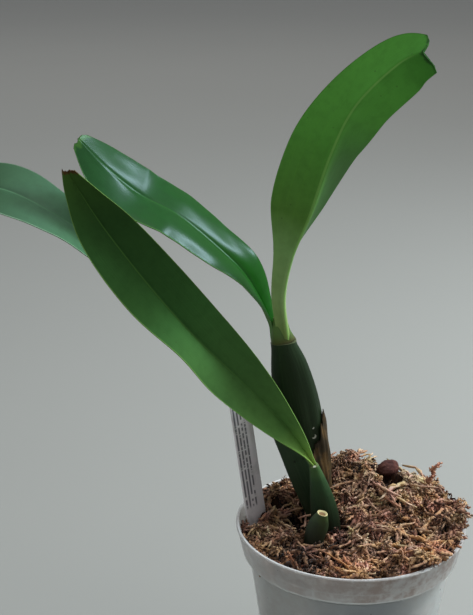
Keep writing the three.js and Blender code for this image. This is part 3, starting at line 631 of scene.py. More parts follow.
# pot, the same lines as the source with smoother rounds
pot = {
    "height": 90.0, "rimRadius": 50.0, "collarHeight": 12.4, "collarFootRadius": 47.2, "shoulderHeight": 3.0,
    "bodyTopRadius": 44.0, "baseRadius": 33.3, "wall": 1.2, "chamfer": 1.0, "lip": 0.4, "rimBand": 0.8,
    "rimRound": 0.3, "innerStepHeight": 82.4, "innerStep": 0.5, "sides": 180,
    "ribCount": 8, "ribWidth": 0.9, "ribDepth": 1.1, "ribFoot": 1.9, "ribHead": 0.5, "ribAngle": 22,
    "ribInset": 0.1, "holeCount": 8, "holeRing": 23.0, "holeRadius": 3.2, "holeSides": 40, "sharpOver": 35,
    "haze": "#f9f7f3", "bodyHaze": "#f6f8f4", "tint": "#a88c7d", "paintedFrontShade": "#c4c9ca", "clear": 0.645,
    # height, half width and strength of the pale lines at the thick edges: whiter plastic and a painted
    # highlight
    "brightLines": [[89.8, 0.35, 0.5], [82.1, 0.4, 0.4], [77.7, 0.4, 0.8]],
}
collarFoot = pot["height"] - pot["collarHeight"]
shoulderFoot = collarFoot - pot["shoulderHeight"]


def potInside(z):
    return pot["baseRadius"] - pot["wall"] + (pot["bodyTopRadius"] - pot["baseRadius"]) * z / shoulderFoot


# thin moulded polypropylene: milky and half clear, so the moss shows through; thicker edges are paler,
# partly whiter plastic and partly a painted highlight, and damp in patches of 9 mm and scuffs of 3 mm cloud
# it
def frostedPolypropylene():
    material, add = newMaterial("frostedPolypropylene")
    place = add("TexCoord", out="Object")
    x, y, height = (add("SeparateXYZ", place, out=axis) for axis in "XYZ")
    damp = add("TexNoise", place, Scale=1000 / 9, Detail=3.0, Roughness=0.55)
    scuffs = add("TexNoise", place, Scale=1000 / 3, Detail=4.0, Roughness=0.7)
    collar = add("MapRange", height, 76.5 * mm, 78.5 * mm, **eased)

    # stains, more on the collar and towards the right
    rightward = add("MapRange", x, -40 * mm, 35 * mm, 0.12, 0.78, **eased)
    share = add("Math", add("Math", collar, rightward, **times), 0.22)
    patches = add("Math", add("Math", damp, 0.6, **times), add("Math", scuffs, 0.4, **times))
    haze = add("Mix", collar, pot["bodyHaze"], pot["haze"], **paint)
    colour = tinted(add, haze, (patches, 0.37, 0.63, share, pot["tint"]))

    # painted shade: the front middle of the body, below the collar, is darker than its sides, which catch
    # more reflected light
    aside = add("Math", add("Math", add("Math", x, 4 * mm, **minus), **absolute),
                add("Math", damp, 12 * mm, **times))
    paintedFrontShade = add("MapRange", aside, 36 * mm, 12 * mm, **eased)
    for source, low, high in ((y, 0, -20 * mm), (height, 77.5 * mm, 76.5 * mm)):
        paintedFrontShade = add("Math", paintedFrontShade, add("MapRange", source, low, high, **eased), **times)
    colour = tinted(add, add("Mix", paintedFrontShade, colour, pot["paintedFrontShade"], **paint), (scuffs, 0.6, 0.72, 0.5, "#f0f1ef"))

    # thick edges, and the stacking ribs inside the collar, as pale lines: whiter plastic and a painted
    # highlight
    around = add("Math", add("Math", y, x, operation="ARCTAN2"), pot["ribCount"] / fullTurn, **times)
    steps = add("Math", around, 0.5 + pot["ribCount"] * (1 - pot["ribAngle"] / 360))
    off = add("Math", add("Math", add("Math", steps, operation="FRACT"), 0.5, **minus), **absolute)
    edges = add("MapRange", off, 0.016, 0.008, 0, 0.5, **eased)
    for share in (collar, add("MapRange", height, 82 * mm, 81 * mm, **eased)):
        edges = add("Math", edges, share, **times)
    for level, half, strength in pot["brightLines"]:
        away = add("Math", add("Math", height, level * mm, **minus), **absolute)
        line = add("MapRange", away, half * mm, half * mm * 0.5, 0, strength, **eased)
        edges = add("Math", edges, line, operation="MAXIMUM")

    clear = add("Math", pot["clear"], add("Math", edges, 0.4, **times), **minus)
    cloudy = add("MapRange", damp, 0.4, 0.75, 0, 0.15, **eased)
    return setSurface(material, {
        "Base Color": add("Mix", edges, colour, "#eef0ee", **paint),
        "Transmission Weight": add("Math", clear, cloudy, use_clamp=True, **minus),
        "Roughness": add("MapRange", scuffs, 0, 1, 0.22, 0.4),
        "Normal": add("Bump", Strength=0.15, Distance=0.3 * mm, Height=damp),
        "IOR": 1.49})


def latheMesh(profile, sides):
    angle = np.linspace(0, fullTurn, sides, endpoint=False)
    r, z = np.array(profile).T
    points = np.stack([r[:, None] * np.cos(angle), r[:, None] * np.sin(angle),
                       np.broadcast_to(z[:, None], (len(z), sides))], -1)
    return points.reshape(-1, 3)


# radius and height round the wall, from the middle of the underside to the middle of the inside
def potProfile():
    height, rimRadius, wall, chamfer = (pot[k] for k in ("height", "rimRadius", "wall", "chamfer"))
    footRadius, topRadius, baseRadius = (pot[k] for k in ("collarFootRadius", "bodyTopRadius", "baseRadius"))
    band, lip, roundOff = pot["rimBand"], pot["lip"], pot["rimRound"]
    step, stepHeight = pot["innerStep"], pot["innerStepHeight"]
    flare = (rimRadius - footRadius) / pot["collarHeight"]
    stepRadius = footRadius + flare * (stepHeight - collarFoot) - wall
    return [
        (0.02, 0), (18, 0), (30, 0), (baseRadius - chamfer, 0), (baseRadius - 0.3, 0.3),
        (baseRadius, chamfer), ((baseRadius + topRadius) / 2, shoulderFoot / 2), (topRadius, shoulderFoot),
        (topRadius + 1.4, shoulderFoot + 1.2), (footRadius - chamfer, collarFoot - chamfer),
        (footRadius - 0.25, collarFoot - 0.45), (footRadius, collarFoot + roundOff),
        (rimRadius - lip, height - band - lip), (rimRadius - 0.1, height - band - 0.15),
        (rimRadius, height - band), (rimRadius - 0.05, height - 0.4), (rimRadius - roundOff, height),
        (rimRadius - wall, height), (rimRadius - wall - roundOff, height - band), (stepRadius, stepHeight),
        (stepRadius - step, stepHeight - step), (footRadius - wall - step, collarFoot + step),
        (topRadius - wall, shoulderFoot + step), (potInside(40), 40),
        (potInside(wall + chamfer), wall + chamfer), (baseRadius - wall - chamfer, wall), (18, wall),
        (0.02, wall),
    ]


def drainHoles():
    for k in range(pot["holeCount"]):
        angle = fullTurn * k / pot["holeCount"]
        x, y = (pot["holeRing"] * go(angle) * mm for go in (math.cos, math.sin))
        bpy.ops.mesh.primitive_cylinder_add(vertices=pot["holeSides"], radius=pot["holeRadius"] * mm,
                                            depth=8 * mm, location=(x, y, 0))
        yield bpy.context.object


def stackingRibs():
    ribHeight = pot["innerStepHeight"] - pot["ribHead"] - shoulderFoot - pot["ribFoot"]
    middle = (shoulderFoot + pot["ribFoot"] + ribHeight / 2) * mm
    reach = pot["collarFootRadius"] - pot["wall"] - pot["ribInset"]
    for k in range(pot["ribCount"]):
        angle = math.radians(pot["ribAngle"] + 360 / pot["ribCount"] * k)
        x, y = (reach * go(angle) * mm for go in (math.cos, math.sin))
        bpy.ops.mesh.primitive_cube_add(size=1, rotation=(0, 0, angle), location=(x, y, middle))
        bpy.context.object.scale = (pot["ribDepth"] * mm, pot["ribWidth"] * mm, ribHeight * mm)
        yield bpy.context.object


def makePot():
    profile = potProfile()
    piece = makePiece("frostedPot", latheMesh(profile, pot["sides"]), ringFaces(len(profile), pot["sides"]),
                      frostedPolypropylene(), "pot_plastic", "pot")
    # the holes are cut out and the ribs joined on, and the tools are then removed
    tools, groups = [], []
    for shapes, operation in ((list(drainHoles()), "DIFFERENCE"), (list(stackingRibs()), "UNION")):
        group = bpy.data.collections.new("potTools")
        for tool in shapes:
            group.objects.link(tool)
        cut = piece.modifiers.new("tools", "BOOLEAN")
        cut.operand_type, cut.collection, cut.operation, cut.solver = "COLLECTION", group, operation, "EXACT"
        tools += shapes
        groups.append(group)
    bpy.context.view_layer.update()
    finished = bpy.data.meshes.new_from_object(piece.evaluated_get(bpy.context.evaluated_depsgraph_get()))
    piece.modifiers.clear()
    piece.data = finished
    for tool in tools:
        bpy.data.objects.remove(tool)
    for group in groups:
        bpy.data.collections.remove(group)
    finished.polygons.foreach_set("use_smooth", np.ones(len(finished.polygons), bool))
    finished.set_sharp_from_angle(angle=math.radians(pot["sharpOver"]))


makePot()
print("pot made")


# plant label: flat strip of grey-white plastic
label = {"width": 11.4, "thickness": 0.9, "yaw": 45, "lean": -0.14, "x": -40.5, "y": 9.0, "level": 84.0,
         "point": 66.0, "pointWidth": 1.6, "taper": 88.0, "middle": 120.0, "top": 158.0, "corner": 1.2,
         "edge": 0.2, "sharpOver": 30,
         "rowPitch": 1.9, "printEnd": 7.8, "printFoot": 93.0,
         "plastic": "#ece6e6", "ink": "#45424a", "dust": "#857f7a"}


# moulded polystyrene strip, matt and dusty in patches of 5 mm, with plain printed dashes in rows
# 1.9 mm apart and a blank third
def labelPlastic():
    material, add = newMaterial("labelPolystyrene")
    across, along = (add("SeparateXYZ", add("UVMap"), out=axis) for axis in "XY")  # both in millimetres
    rowAt = add("Math", across, label["rowPitch"], operation="DIVIDE")
    inRow = add("Math", rowAt, operation="FRACT")
    row = add("Math", add("Math", rowAt, operation="FLOOR"), 7.3, **times)
    key = add("CombineXYZ", along, row)
    dashes = add("TexNoise", key, Scale=0.3, Detail=2.0, Roughness=0.8)
    breaks = add("TexNoise", key, Scale=1.1, Detail=0.0)
    ink = 0.85
    for source, low, high in (
            (dashes, 0.38, 0.44), (breaks, 0.3, 0.38), (inRow, 0.2, 0.32), (inRow, 0.8, 0.68),
            (across, label["printEnd"] + 0.1, label["printEnd"] - 0.1),
            (along, label["printFoot"] - 1, label["printFoot"] + 1)):
        ink = add("Math", ink, add("MapRange", source, low, high, **eased), **times)
    dust = add("TexNoise", add("TexCoord", out="Object"), Scale=1000 / 5, Detail=3.0)
    colour = tinted(add, label["plastic"], (dust, 0.45, 0.75, 0.3, label["dust"]))
    return setSurface(material, {
        "Base Color": add("Mix", ink, colour, label["ink"], **paint), "Roughness": 0.5,
        "Normal": add("Bump", Strength=0.1, Distance=0.2 * mm, Height=dust)})


def makeLabel():
    half, corner, edge = label["width"] / 2, label["corner"], label["edge"]
    point = label["pointWidth"] / 2
    outline = [(-point, label["point"]), (point, label["point"]), (half, label["taper"])]
    for hand, start in ((1, 0), (-1, math.pi / 2)):
        for k in range(6):
            angle = start + math.pi / 2 * k / 5
            outline.append((hand * (half - corner) + corner * math.cos(angle),
                            label["top"] - corner + corner * math.sin(angle)))
    outline = np.array(outline + [(-half, label["taper"])])
    shrink = outline - edge * unit(outline - [0, label["middle"]])
    t = label["thickness"] / 2
    yaw = math.radians(label["yaw"])
    points, flat = [], []
    for shape, depth in ((shrink, -t), (outline, edge - t), (outline, t - edge), (shrink, t)):
        for a, h in shape:
            x, y = a * math.cos(yaw) + depth * math.sin(yaw), a * math.sin(yaw) - depth * math.cos(yaw)
            points.append((label["x"] + x + label["lean"] * (h - label["level"]), label["y"] + y, h))
            flat.append((a + half, h))
    piece = makePiece("plantLabel", points, ringFaces(4, len(outline)), labelPlastic(), "label_plastic",
                      "plant_label", flat)
    piece.data.set_sharp_from_angle(angle=math.radians(label["sharpOver"]))


makeLabel()


# bark chip: rounded top and a short neck that goes down into the moss
chip = {"x": 20.2, "y": 32.0, "z": 99.0, "size": [5.7, 3.5, 4.9], "turn": 25, "rows": 48, "sides": 64,
        # how much of its width the neck loses, and how far it goes aside and down
        "neck": 0.46, "neckAside": 2.0, "neckDrop": 4.2,
        "bark": [(0.2, "#2a1411"), (0.5, "#4c2922"), (0.8, "#7c5042")]}


# pine bark: rough and red-brown, in flakes of 3 mm with pale worn ridges
def barkSkin():
    material, add = newMaterial("roughPineBark")
    flakes = add("TexNoise", add("TexCoord", out="Object"), Scale=1000 / 3.2, Detail=5.0, Roughness=0.65,
                 Distortion=1.2)
    return setSurface(material, {
        "Base Color": add("ValToRGB", flakes, stops=chip["bark"]), "Roughness": 0.75,
        "Normal": add("Bump", Strength=0.9, Distance=0.5 * mm, Height=flakes)})


def makeChip():
    rows, sides = chip["rows"], chip["sides"]
    lat = np.linspace(-math.pi / 2 + 0.02, math.pi / 2 - 0.02, rows)[:, None]
    lon = np.linspace(0, fullTurn, sides, endpoint=False)[None, :]
    x, y = np.cos(lat) * np.cos(lon), np.cos(lat) * np.sin(lon)
    z = np.broadcast_to(np.sin(lat), (rows, sides))
    rough = 1 + 0.04 * np.sin(3 * x + 1) * np.cos(2 * z) + 0.04 * np.sin(5 * y + 3 * z)
    rough = rough + 0.05 * ripples(x * 3, (y + z) * 3, 1.6, 12) + 0.025 * ripples(x * 3 + y, z * 3, 0.6, 13)
    low = np.clip(-(z + 0.05) / 0.95, 0, 1)
    narrow = 1 - chip["neck"] * np.clip(low * 2.0, 0, 1) ** 1.5
    a, b, c = chip["size"]
    px, py = x * a * rough * narrow + chip["neckAside"] * low, y * b * rough * narrow
    pz = z * c * rough - chip["neckDrop"] * low ** 2
    turn = math.radians(chip["turn"])
    points = np.stack([chip["x"] + px * math.cos(turn) - py * math.sin(turn),
                       chip["y"] + px * math.sin(turn) + py * math.cos(turn), chip["z"] + pz], -1)
    makePiece("barkChip", points.reshape(-1, 3), ringFaces(rows, sides), barkSkin(), "bark", "bark_chip")


makeChip()
print("label and chip made")


# Moss. The height of the bed at a place inside the rim is as in the source.
moss = {
    "clear": 0.4, "edgeRadius": 44.9, "wallLevel": 82.7, "rightRise": 10.9,
    "swellFrom": 84.0, "swellOver": 3.0,
    # x, y, rise and spread
    "mounds": [
        [-1.2, 34.8, 12.6, 16.6], [-39.4, 28.7, 12.9, 14.8], [20.8, 25.6, 6.3, 16.9],
        [33.7, -20.6, -5.1, 13.5], [6, -29.6, -2.4, 15.9], [-30.4, -20.9, 2.6, 7.2],
        [-16.4, -1.9, -5.2, 10.4],
    ],
    # share of the way out to the collar, depth below the edge of the top and greatest height
    "brim": [[0, 1.5, 82.4], [1, 1, 83.2], [1, 0.5, 200], [0.85, 0, 200]],
    # tufts, and how far the bed lies under the loose moss, its roughness and its mesh
    "clumpRise": 4.0, "clumpSize": 10.0, "bedSunk": 1.3, "bedRough": 0.8, "bedSides": 240, "bedRings": 70,
    # shaded pockets between the tufts: x, y, depth and spread
    "hollows": [
        [-19, 3, 5.5, 5.5], [-25, 6, 4, 4.5], [-15, -22, 5.5, 4.5], [-13, -30, 4.5, 4.5], [-3, -2, 4.5, 3.6],
        [-3, -20, 4, 3.4], [13, -41, 3, 3.5], [29, -13, 4.5, 4.2], [36, -3, 3, 3.2], [21.5, 25.5, 5, 4.5],
        [-33, -6, 2.4, 3.5], [-3, 28, 3, 2.8], [-25, -35, 3, 4], [10, 8, 3, 2.8], [18, -20, 3, 2.8],
    ],
    # how pale and how rusty a shred is: its middle, its drift, over how many millimetres, and a seed
    "paleDrift": (0.46, 0.15, 10, 21), "rustDrift": (0.46, 0.3, 13, 22), "paintedReliefShade": 0.1,
    # and its change by where it lies: x, y, change and spread
    # the darkening at x -24, y -28 is partly browner moss and partly painted shade at the left front
    "pale": [
        [28, 23, 0.44, 14], [-36, 10, 0.1, 9], [32, -4, -0.04, 12], [-24, -28, -0.3, 14], [0, -38, 0.17, 9],
        [33, -29, 0.12, 9], [10, 8, 0.03, 12],
    ],
    "rusty": [
        [0, -40, 0.4, 12], [36, 6, 0.2, 13], [34, -31, 0.45, 10], [-36, -14, 0.15, 9], [-40, 8, -0.1, 10],
        [24, 24, -0.36, 12],
    ],
    "shredReach": 48.2, "headReach": 47.4, "overRim": (47.4, 4.0),
    # room kept round the stems and the papery sheath, across and square to the label, round the chip,
    # and in front of the chip: how far it lies from the chip and its half size
    "stemRoom": 0.25, "sheathRoom": 1.5, "labelRoom": (7.0, 1.4), "chipRoom": (6.2, 4.2, 5.6),
    "beforeChip": (0.3, -7.0, -5.5), "beforeRoom": (5.0, 7.0),
}


# sum of soft bumps, each a place x, y, its change and its spread
def placeSum(places, x, y):
    return sum(change * np.exp(-((x - px) ** 2 + (y - py) ** 2) / spread ** 2)
               for px, py, change, spread in places)


def collarInside(z):
    share = (np.minimum(z, pot["height"]) - collarFoot) / pot["collarHeight"]
    return pot["collarFootRadius"] + (pot["rimRadius"] - pot["collarFootRadius"]) * share - pot["wall"]


def mossHeight(x, y):
    side = moss["rightRise"] * (1 + x / moss["edgeRadius"]) / 2
    lumps = 1.1 * np.sin(0.42 * x + 1) * np.cos(0.37 * y) + 0.8 * np.sin(0.8 * x - 0.62 * y + 2)
    edge = np.clip((moss["edgeRadius"] - np.hypot(x, y)) / 8 + 0.25, 0, 1)
    return moss["wallLevel"] + side + (lumps + placeSum(moss["mounds"], x, y)) * edge


# tufts and shaded pockets on top of that height; above 0 is a tuft
def tufts(x, y):
    value = ripples(x, y, moss["clumpSize"], 15) + 0.5 * ripples(x, y, moss["clumpSize"] * 0.45, 16)
    return moss["clumpRise"] * np.clip(value, -0.9, 0.6) - placeSum(moss["hollows"], x, y)


# the stems and the room round each
stemFeet = [(look["rows"], moss["sheathRoom" if node == "pseudobulb_back" else "stemRoom"])
            for node, look in stems.items()] + [(stub["rows"], moss["stemRoom"])]


# pushes loose moss out of the stems
def clearOfStems(points):
    out = points.copy()
    for rows, room in stemFeet:
        fine = smoothRows(rows, np.linspace(0, 1, 300))
        z = np.clip(out[..., 2], fine[0, 2], fine[-1, 2])
        cx, cy, wide, deep = (np.interp(z, fine[:, 2], fine[:, k]) for k in (0, 1, 3, 4))
        dx, dy = out[..., 0] - cx, out[..., 1] - cy
        inside = np.hypot(dx / (wide + room), dy / (deep + room))
        push = np.where(inside < 1, 1 / np.maximum(inside, 0.15), 1.0)
        out[..., 0] = cx + dx * push
        out[..., 1] = cy + dy * push
    return out


# dead sphagnum bleaches from rust brown to straw
mossPalette = [
    (0.0, "#120d0a"), (0.12, "#2a1f17"), (0.26, "#574336"), (0.4, "#816855"), (0.54, "#a58c78"),
    (0.68, "#bfa790"), (0.8, "#cbb89d"), (0.9, "#d6c6ab"), (1.0, "#e6dac4"),
]
# from greenish grey through neutral to orange brown
mossHues = [(0.0, "#e4e0cf"), (0.25, "#efe2d6"), (0.5, "#f3dccf"), (0.75, "#f4d0b8"), (1.0, "#f3c49c")]
# slow drift from a pinkish to an olive cast
mossCasts = [(0.36, "#f1deec"), (0.5, "#fefbf8"), (0.64, "#f3f4db")]


# dead long-fibred moss: matt and dry, each shred its own brown, tan or straw, with grain of 0.8 mm
# and fibres of 1.8 mm, drawn coarser than the real ones to show
def driedMoss(name, fibreShare=0.2):
    material, add = newMaterial("driedMoss_" + name)
    tone, rust = (add("Attribute", attribute_name=key, out="Fac") for key in ("tone", "rust"))
    place = add("TexCoord", out="Object")
    grain = add("TexNoise", place, Scale=1000 / 0.8, Detail=3.0)
    fibre = add("TexNoise", place, Scale=1000 / 1.8, Detail=2.0, Distortion=2.0)
    mixed = add("Math", grain, add("Math", fibre, fibreShare, **times))
    shift = add("Math", add("Math", mixed, 0.5 + 0.5 * fibreShare, **minus), 0.24, **times)
    colour = add("ValToRGB", add("Math", tone, shift, use_clamp=True), stops=mossPalette)
    drift = add("TexNoise", place, Scale=1000 / 7, Detail=2.0)
    for source, stops in ((rust, mossHues), (drift, mossCasts)):
        cast = add("ValToRGB", source, stops=stops)
        colour = add("Mix", 1.0, colour, cast, blend_type="MULTIPLY", **paint)
    return setSurface(material, {
        "Base Color": colour, "Roughness": 0.85, "Specular IOR Level": 0.15, "Sheen Weight": 0.1,
        "Normal": add("Bump", Strength=0.5 + 0.3 * fibreShare, Distance=0.4 * mm, Height=mixed)})


def makeMossBed():
    sides, edgeRadius = moss["bedSides"], moss["edgeRadius"]
    angle = np.linspace(0, fullTurn, sides, endpoint=False)
    c, s = np.cos(angle), np.sin(angle)
    bottom = pot["wall"] + moss["clear"]
    rings = [(0.02, bottom), (15, bottom), (potInside(bottom) - 1.8, bottom)]
    rings += [(potInside(z) - moss["clear"], z) for z in (bottom + 1.2, 12, 24, 37, 50, 62, shoulderFoot)]
    rings.append((edgeRadius, collarFoot + 1.4))
    layers = []
    for radius, z in rings:
        lumps = ripples(angle * 40, z * np.ones(sides), 7, 3)
        dent = np.minimum(0.6 * (lumps - 0.6), 0) if radius > 16 else 0  # the flat bottom has none
        layers.append(np.stack([(radius + dent) * c, (radius + dent) * s, np.full(sides, z)], -1))
    level = mossHeight(edgeRadius * c, edgeRadius * s)
    swell = np.clip((level - moss["swellFrom"]) / moss["swellOver"], 0, 1)
    for share, below, highest in moss["brim"]:
        z = np.minimum(highest, level - below) - 0.6
        room = np.maximum(0, collarInside(z) - moss["clear"] - edgeRadius)
        radius = edgeRadius + share * room * swell
        layers.append(np.stack([radius * c, radius * s, z], -1))
    for share in np.linspace(0.99, 0.01, moss["bedRings"]) ** 0.9:
        x, y = edgeRadius * share * c, edgeRadius * share * s
        fade = np.minimum(1, (1 - share) * 8)
        rough = tufts(x, y) + moss["bedRough"] * ripples(x, y, 2.6, 9)
        z = mossHeight(x, y) - moss["bedSunk"] + fade * rough
        layers.append(np.stack([x, y, z], -1))
    points = np.array(layers)
    x, y, z = np.moveaxis(points, -1, 0)
    # what shows through the pot is paler than the shaded bed under the loose moss
    inCollar = np.clip((z - shoulderFoot) / 4, 0, 1)
    onWall = np.hypot(x, y) > edgeRadius - 1.4
    tone = np.where(onWall, 0.42 + 0.06 * inCollar + 0.3 * ripples(x * 2.2, z * 2 + y, 9, 4), 0.12)
    brim = np.arange(len(points))[:, None] >= len(rings) + 1
    tone = np.where(brim & onWall, 0.3 + 0.12 * ripples(x * 3, y * 3, 9, 6), tone)
    rust = np.where(inCollar > 0.5, 0.85, 0.55)
    makePiece("mossBed", points.reshape(-1, 3), ringFaces(len(points), sides), driedMoss("bed", 0.9),
              "dried_moss", "moss", values={"tone": np.clip(tone, 0, 1), "rust": rust})


makeMossBed()


def drifting(x, y, middle, drift, size, seed):
    return middle + drift * ripples(x, y, size, seed)


# how pale and how rusty shreds are at their places, with painted shade in the pockets between tufts
def mossTone(x, y, random, spread=0.12):
    # painted shade and light by the relief: darker in the pockets and a little paler on top of the tufts
    pale = drifting(x, y, *moss["paleDrift"]) + moss["paintedReliefShade"] * np.clip(tufts(x, y), -5, 1.6)
    rust = drifting(x, y, *moss["rustDrift"]) + random.normal(0, spread, x.shape)
    pale = pale + placeSum(moss["pale"], x, y)
    rust = rust + placeSum(moss["rusty"], x, y)
    tone = pale + 0.16 * np.clip(rust - 0.5, 0, 0.5) + random.normal(0, spread, x.shape)
    return np.clip(tone, 0.1, 0.88), np.clip(rust, 0, 1)


# keeps lines inside the collar, or just over the rim at the right, and out of the stems
def settle(line):
    x, y, z = np.moveaxis(line, -1, 0)
    rim, more = moss["overRim"]
    overRim = rim + more * np.clip((x - 15) / 25, 0, 1)
    limit = np.where(z > pot["height"] + 0.8, overRim, collarInside(z) - 0.9)
    limit = np.where(z < pot["innerStepHeight"] + 0.5, moss["edgeRadius"] - 0.2, limit)
    keep = np.minimum(1, limit / np.maximum(np.hypot(x, y), 1e-6))
    return clearOfStems(np.stack([x * keep, y * keep, z], -1))


# small kinks along each line, up to the given millimetres
def crinkle(line, size, random):
    t = np.linspace(0, 1, line.shape[-2])
    many = line.shape[:-2]
    for axis in range(3):
        turns, phase = random.uniform(1.2, 2.8, many + (1,)), random.uniform(0, fullTurn, many + (1,))
        amount = size * random.uniform(0.4, 1, many + (1,)) * (0.5 if axis == 2 else 1)
        line[..., axis] += amount * np.sin(fullTurn * turns * t + phase) * t ** 0.5
    return line


# places on a disc: a power of 0.5 spreads them evenly, and a smaller one more to its rim
def scatter(reach, power, count, random):
    away = reach * random.uniform(0, 1, count) ** power
    turn = random.uniform(0, fullTurn, count)
    return away * np.cos(turn), away * np.sin(turn)


# centre lines of shreds that lie on the bed in all directions
def shredLines(kind, random):
    count, steps = kind["count"], kind["steps"]
    x, y = scatter(moss["shredReach"], 0.47, 3 * count, random)
    slope = np.abs(mossHeight(x, y + 1) + tufts(x, y + 1) - mossHeight(x, y - 1) - tufts(x, y - 1)) / 2
    weight = 1 + 1.6 * slope  # steep sides need as many as the flat parts
    chosen = random.choice(3 * count, count, replace=False, p=weight / weight.sum())
    size = random.uniform(*kind["length"], count)
    heading = random.uniform(0, fullTurn, count)
    bend = random.normal(0, kind["curl"], count)
    twist = random.normal(0, kind["curl"] * 0.6, count)
    base = random.uniform(*kind["lift"], count)
    hump = random.uniform(*kind["arch"], count)
    slant = random.normal(0, 0.22, count)
    t = np.linspace(0, 1, steps)
    angle = heading[:, None] + bend[:, None] * (t - 0.5) + twist[:, None] * np.sin(fullTurn * t)
    stepX, stepY = (go(angle) * size[:, None] / (steps - 1) for go in (np.cos, np.sin))
    x = x[chosen, None] + np.cumsum(stepX, 1) - stepX.sum(1)[:, None] / 2
    y = y[chosen, None] + np.cumsum(stepY, 1) - stepY.sum(1)[:, None] / 2
    z = mossHeight(x, y) + tufts(x, y) + base[:, None]
    z = z + hump[:, None] * np.sin(math.pi * t) + slant[:, None] * size[:, None] * (t - 0.5)
    return settle(crinkle(np.stack([x, y, z], -1), kind["kink"], random))


# sphagnum heads: short tapered branches that curl out from one point, in tufts
def headLines(kind, random):
    tries, branches, steps = kind["count"] * 4, kind["branches"], kind["steps"]
    x, y = scatter(moss["headReach"], 0.5, tries, random)
    wanted = np.nonzero(tufts(x, y) > kind["fromRelief"] + random.normal(0, 0.7, tries))[0][:kind["count"]]
    x, y = x[wanted], y[wanted]
    count = len(x)
    each = (count, branches, 1, 1)
    z = mossHeight(x, y) + tufts(x, y) + random.uniform(*kind["lift"], count)
    spin = np.arange(branches) * fullTurn / branches + random.uniform(0, 6.28, (count, 1))
    spin = spin + random.normal(0, 0.55, (count, branches))
    rise = np.radians(random.uniform(*kind["rise"], (count, branches)))
    out = np.stack([np.cos(spin) * np.cos(rise), np.sin(spin) * np.cos(rise), np.sin(rise)], -1)
    size = random.uniform(*kind["length"], each) * random.uniform(0.6, 1.25, each)
    side = np.stack([-np.sin(spin), np.cos(spin), np.zeros_like(spin)], -1)
    t = np.linspace(0.03, 1, steps)[:, None]
    curl = random.normal(0, kind["curl"], each)
    droop = random.uniform(*kind["droop"], each)
    line = out[:, :, None] * t + side[:, :, None] * curl * t ** 2 - np.array([0, 0, 1.0]) * droop * t ** 2
    line = line * size + np.stack([x, y, z], -1)[:, None, None]
    line = crinkle(line.reshape(count * branches, steps, 3), kind["kink"], random)
    tone, rust = mossTone(x, y, random)
    tone = (tone[:, None] + random.normal(0, 0.09, (count, branches))).ravel()
    rust = (rust[:, None] + random.normal(0, 0.08, (count, branches))).ravel()
    return settle(line), np.clip(tone, 0.03, 1), np.clip(rust, 0, 1)


# lines that don't cross the label or the bark chip, and don't stand in front of the chip
def clearOfThings(line):
    dx, dy = line[..., 0] - label["x"], line[..., 1] - label["y"]
    c, s = math.cos(math.radians(label["yaw"])), math.sin(math.radians(label["yaw"]))
    wide, thin = moss["labelRoom"]
    inLabel = (np.abs(dx * c + dy * s) < wide) & (np.abs(dx * s - dy * c) < thin)
    fromChip = line - [chip["x"], chip["y"], chip["z"]]
    inChip = ((fromChip / moss["chipRoom"]) ** 2).sum(-1) < 1
    off, (wide, deep) = fromChip - moss["beforeChip"], moss["beforeRoom"]
    before = (np.abs(off[..., 0]) < wide) & (np.abs(off[..., 1]) < deep) & (off[..., 2] > 0)
    return ~(inLabel | inChip | before).any(1)


# two directions square to lines
def lineFrames(along):
    up = unit(np.cross(along, [0.13, 0.21, 1.0]) + 1e-6)
    return up, np.cross(along, up)


# thin tubes along lines; wide and thin give the section at each step
def tubes(lines, wide, thin, random, sides=3, twist=0.0):
    count, steps = lines.shape[:2]
    along = unit(np.gradient(lines, axis=1))
    roll = random.uniform(0, fullTurn, count)[:, None]
    roll = roll + random.normal(0, 1.2, count)[:, None] * np.linspace(0, 1, steps)
    up, side = lineFrames(along)
    a = up * np.cos(roll)[..., None] + side * np.sin(roll)[..., None]
    b = np.cross(along, a)
    angle = np.linspace(0, fullTurn, sides, endpoint=False) + twist * np.arange(steps)[:, None]
    rings = (lines[:, :, None, :] + (wide[..., None] * np.cos(angle))[..., None] * a[:, :, None, :]
             + (thin[..., None] * np.sin(angle))[..., None] * b[:, :, None, :])
    start = (np.arange(count) * steps * sides)[:, None, None]
    body, foot, head = ringFaces(steps, sides)
    ends = np.concatenate([foot, head])
    return rings.reshape(-1, 3), (body[None] + start).reshape(-1, 4), (ends[None] + start).reshape(-1, sides)


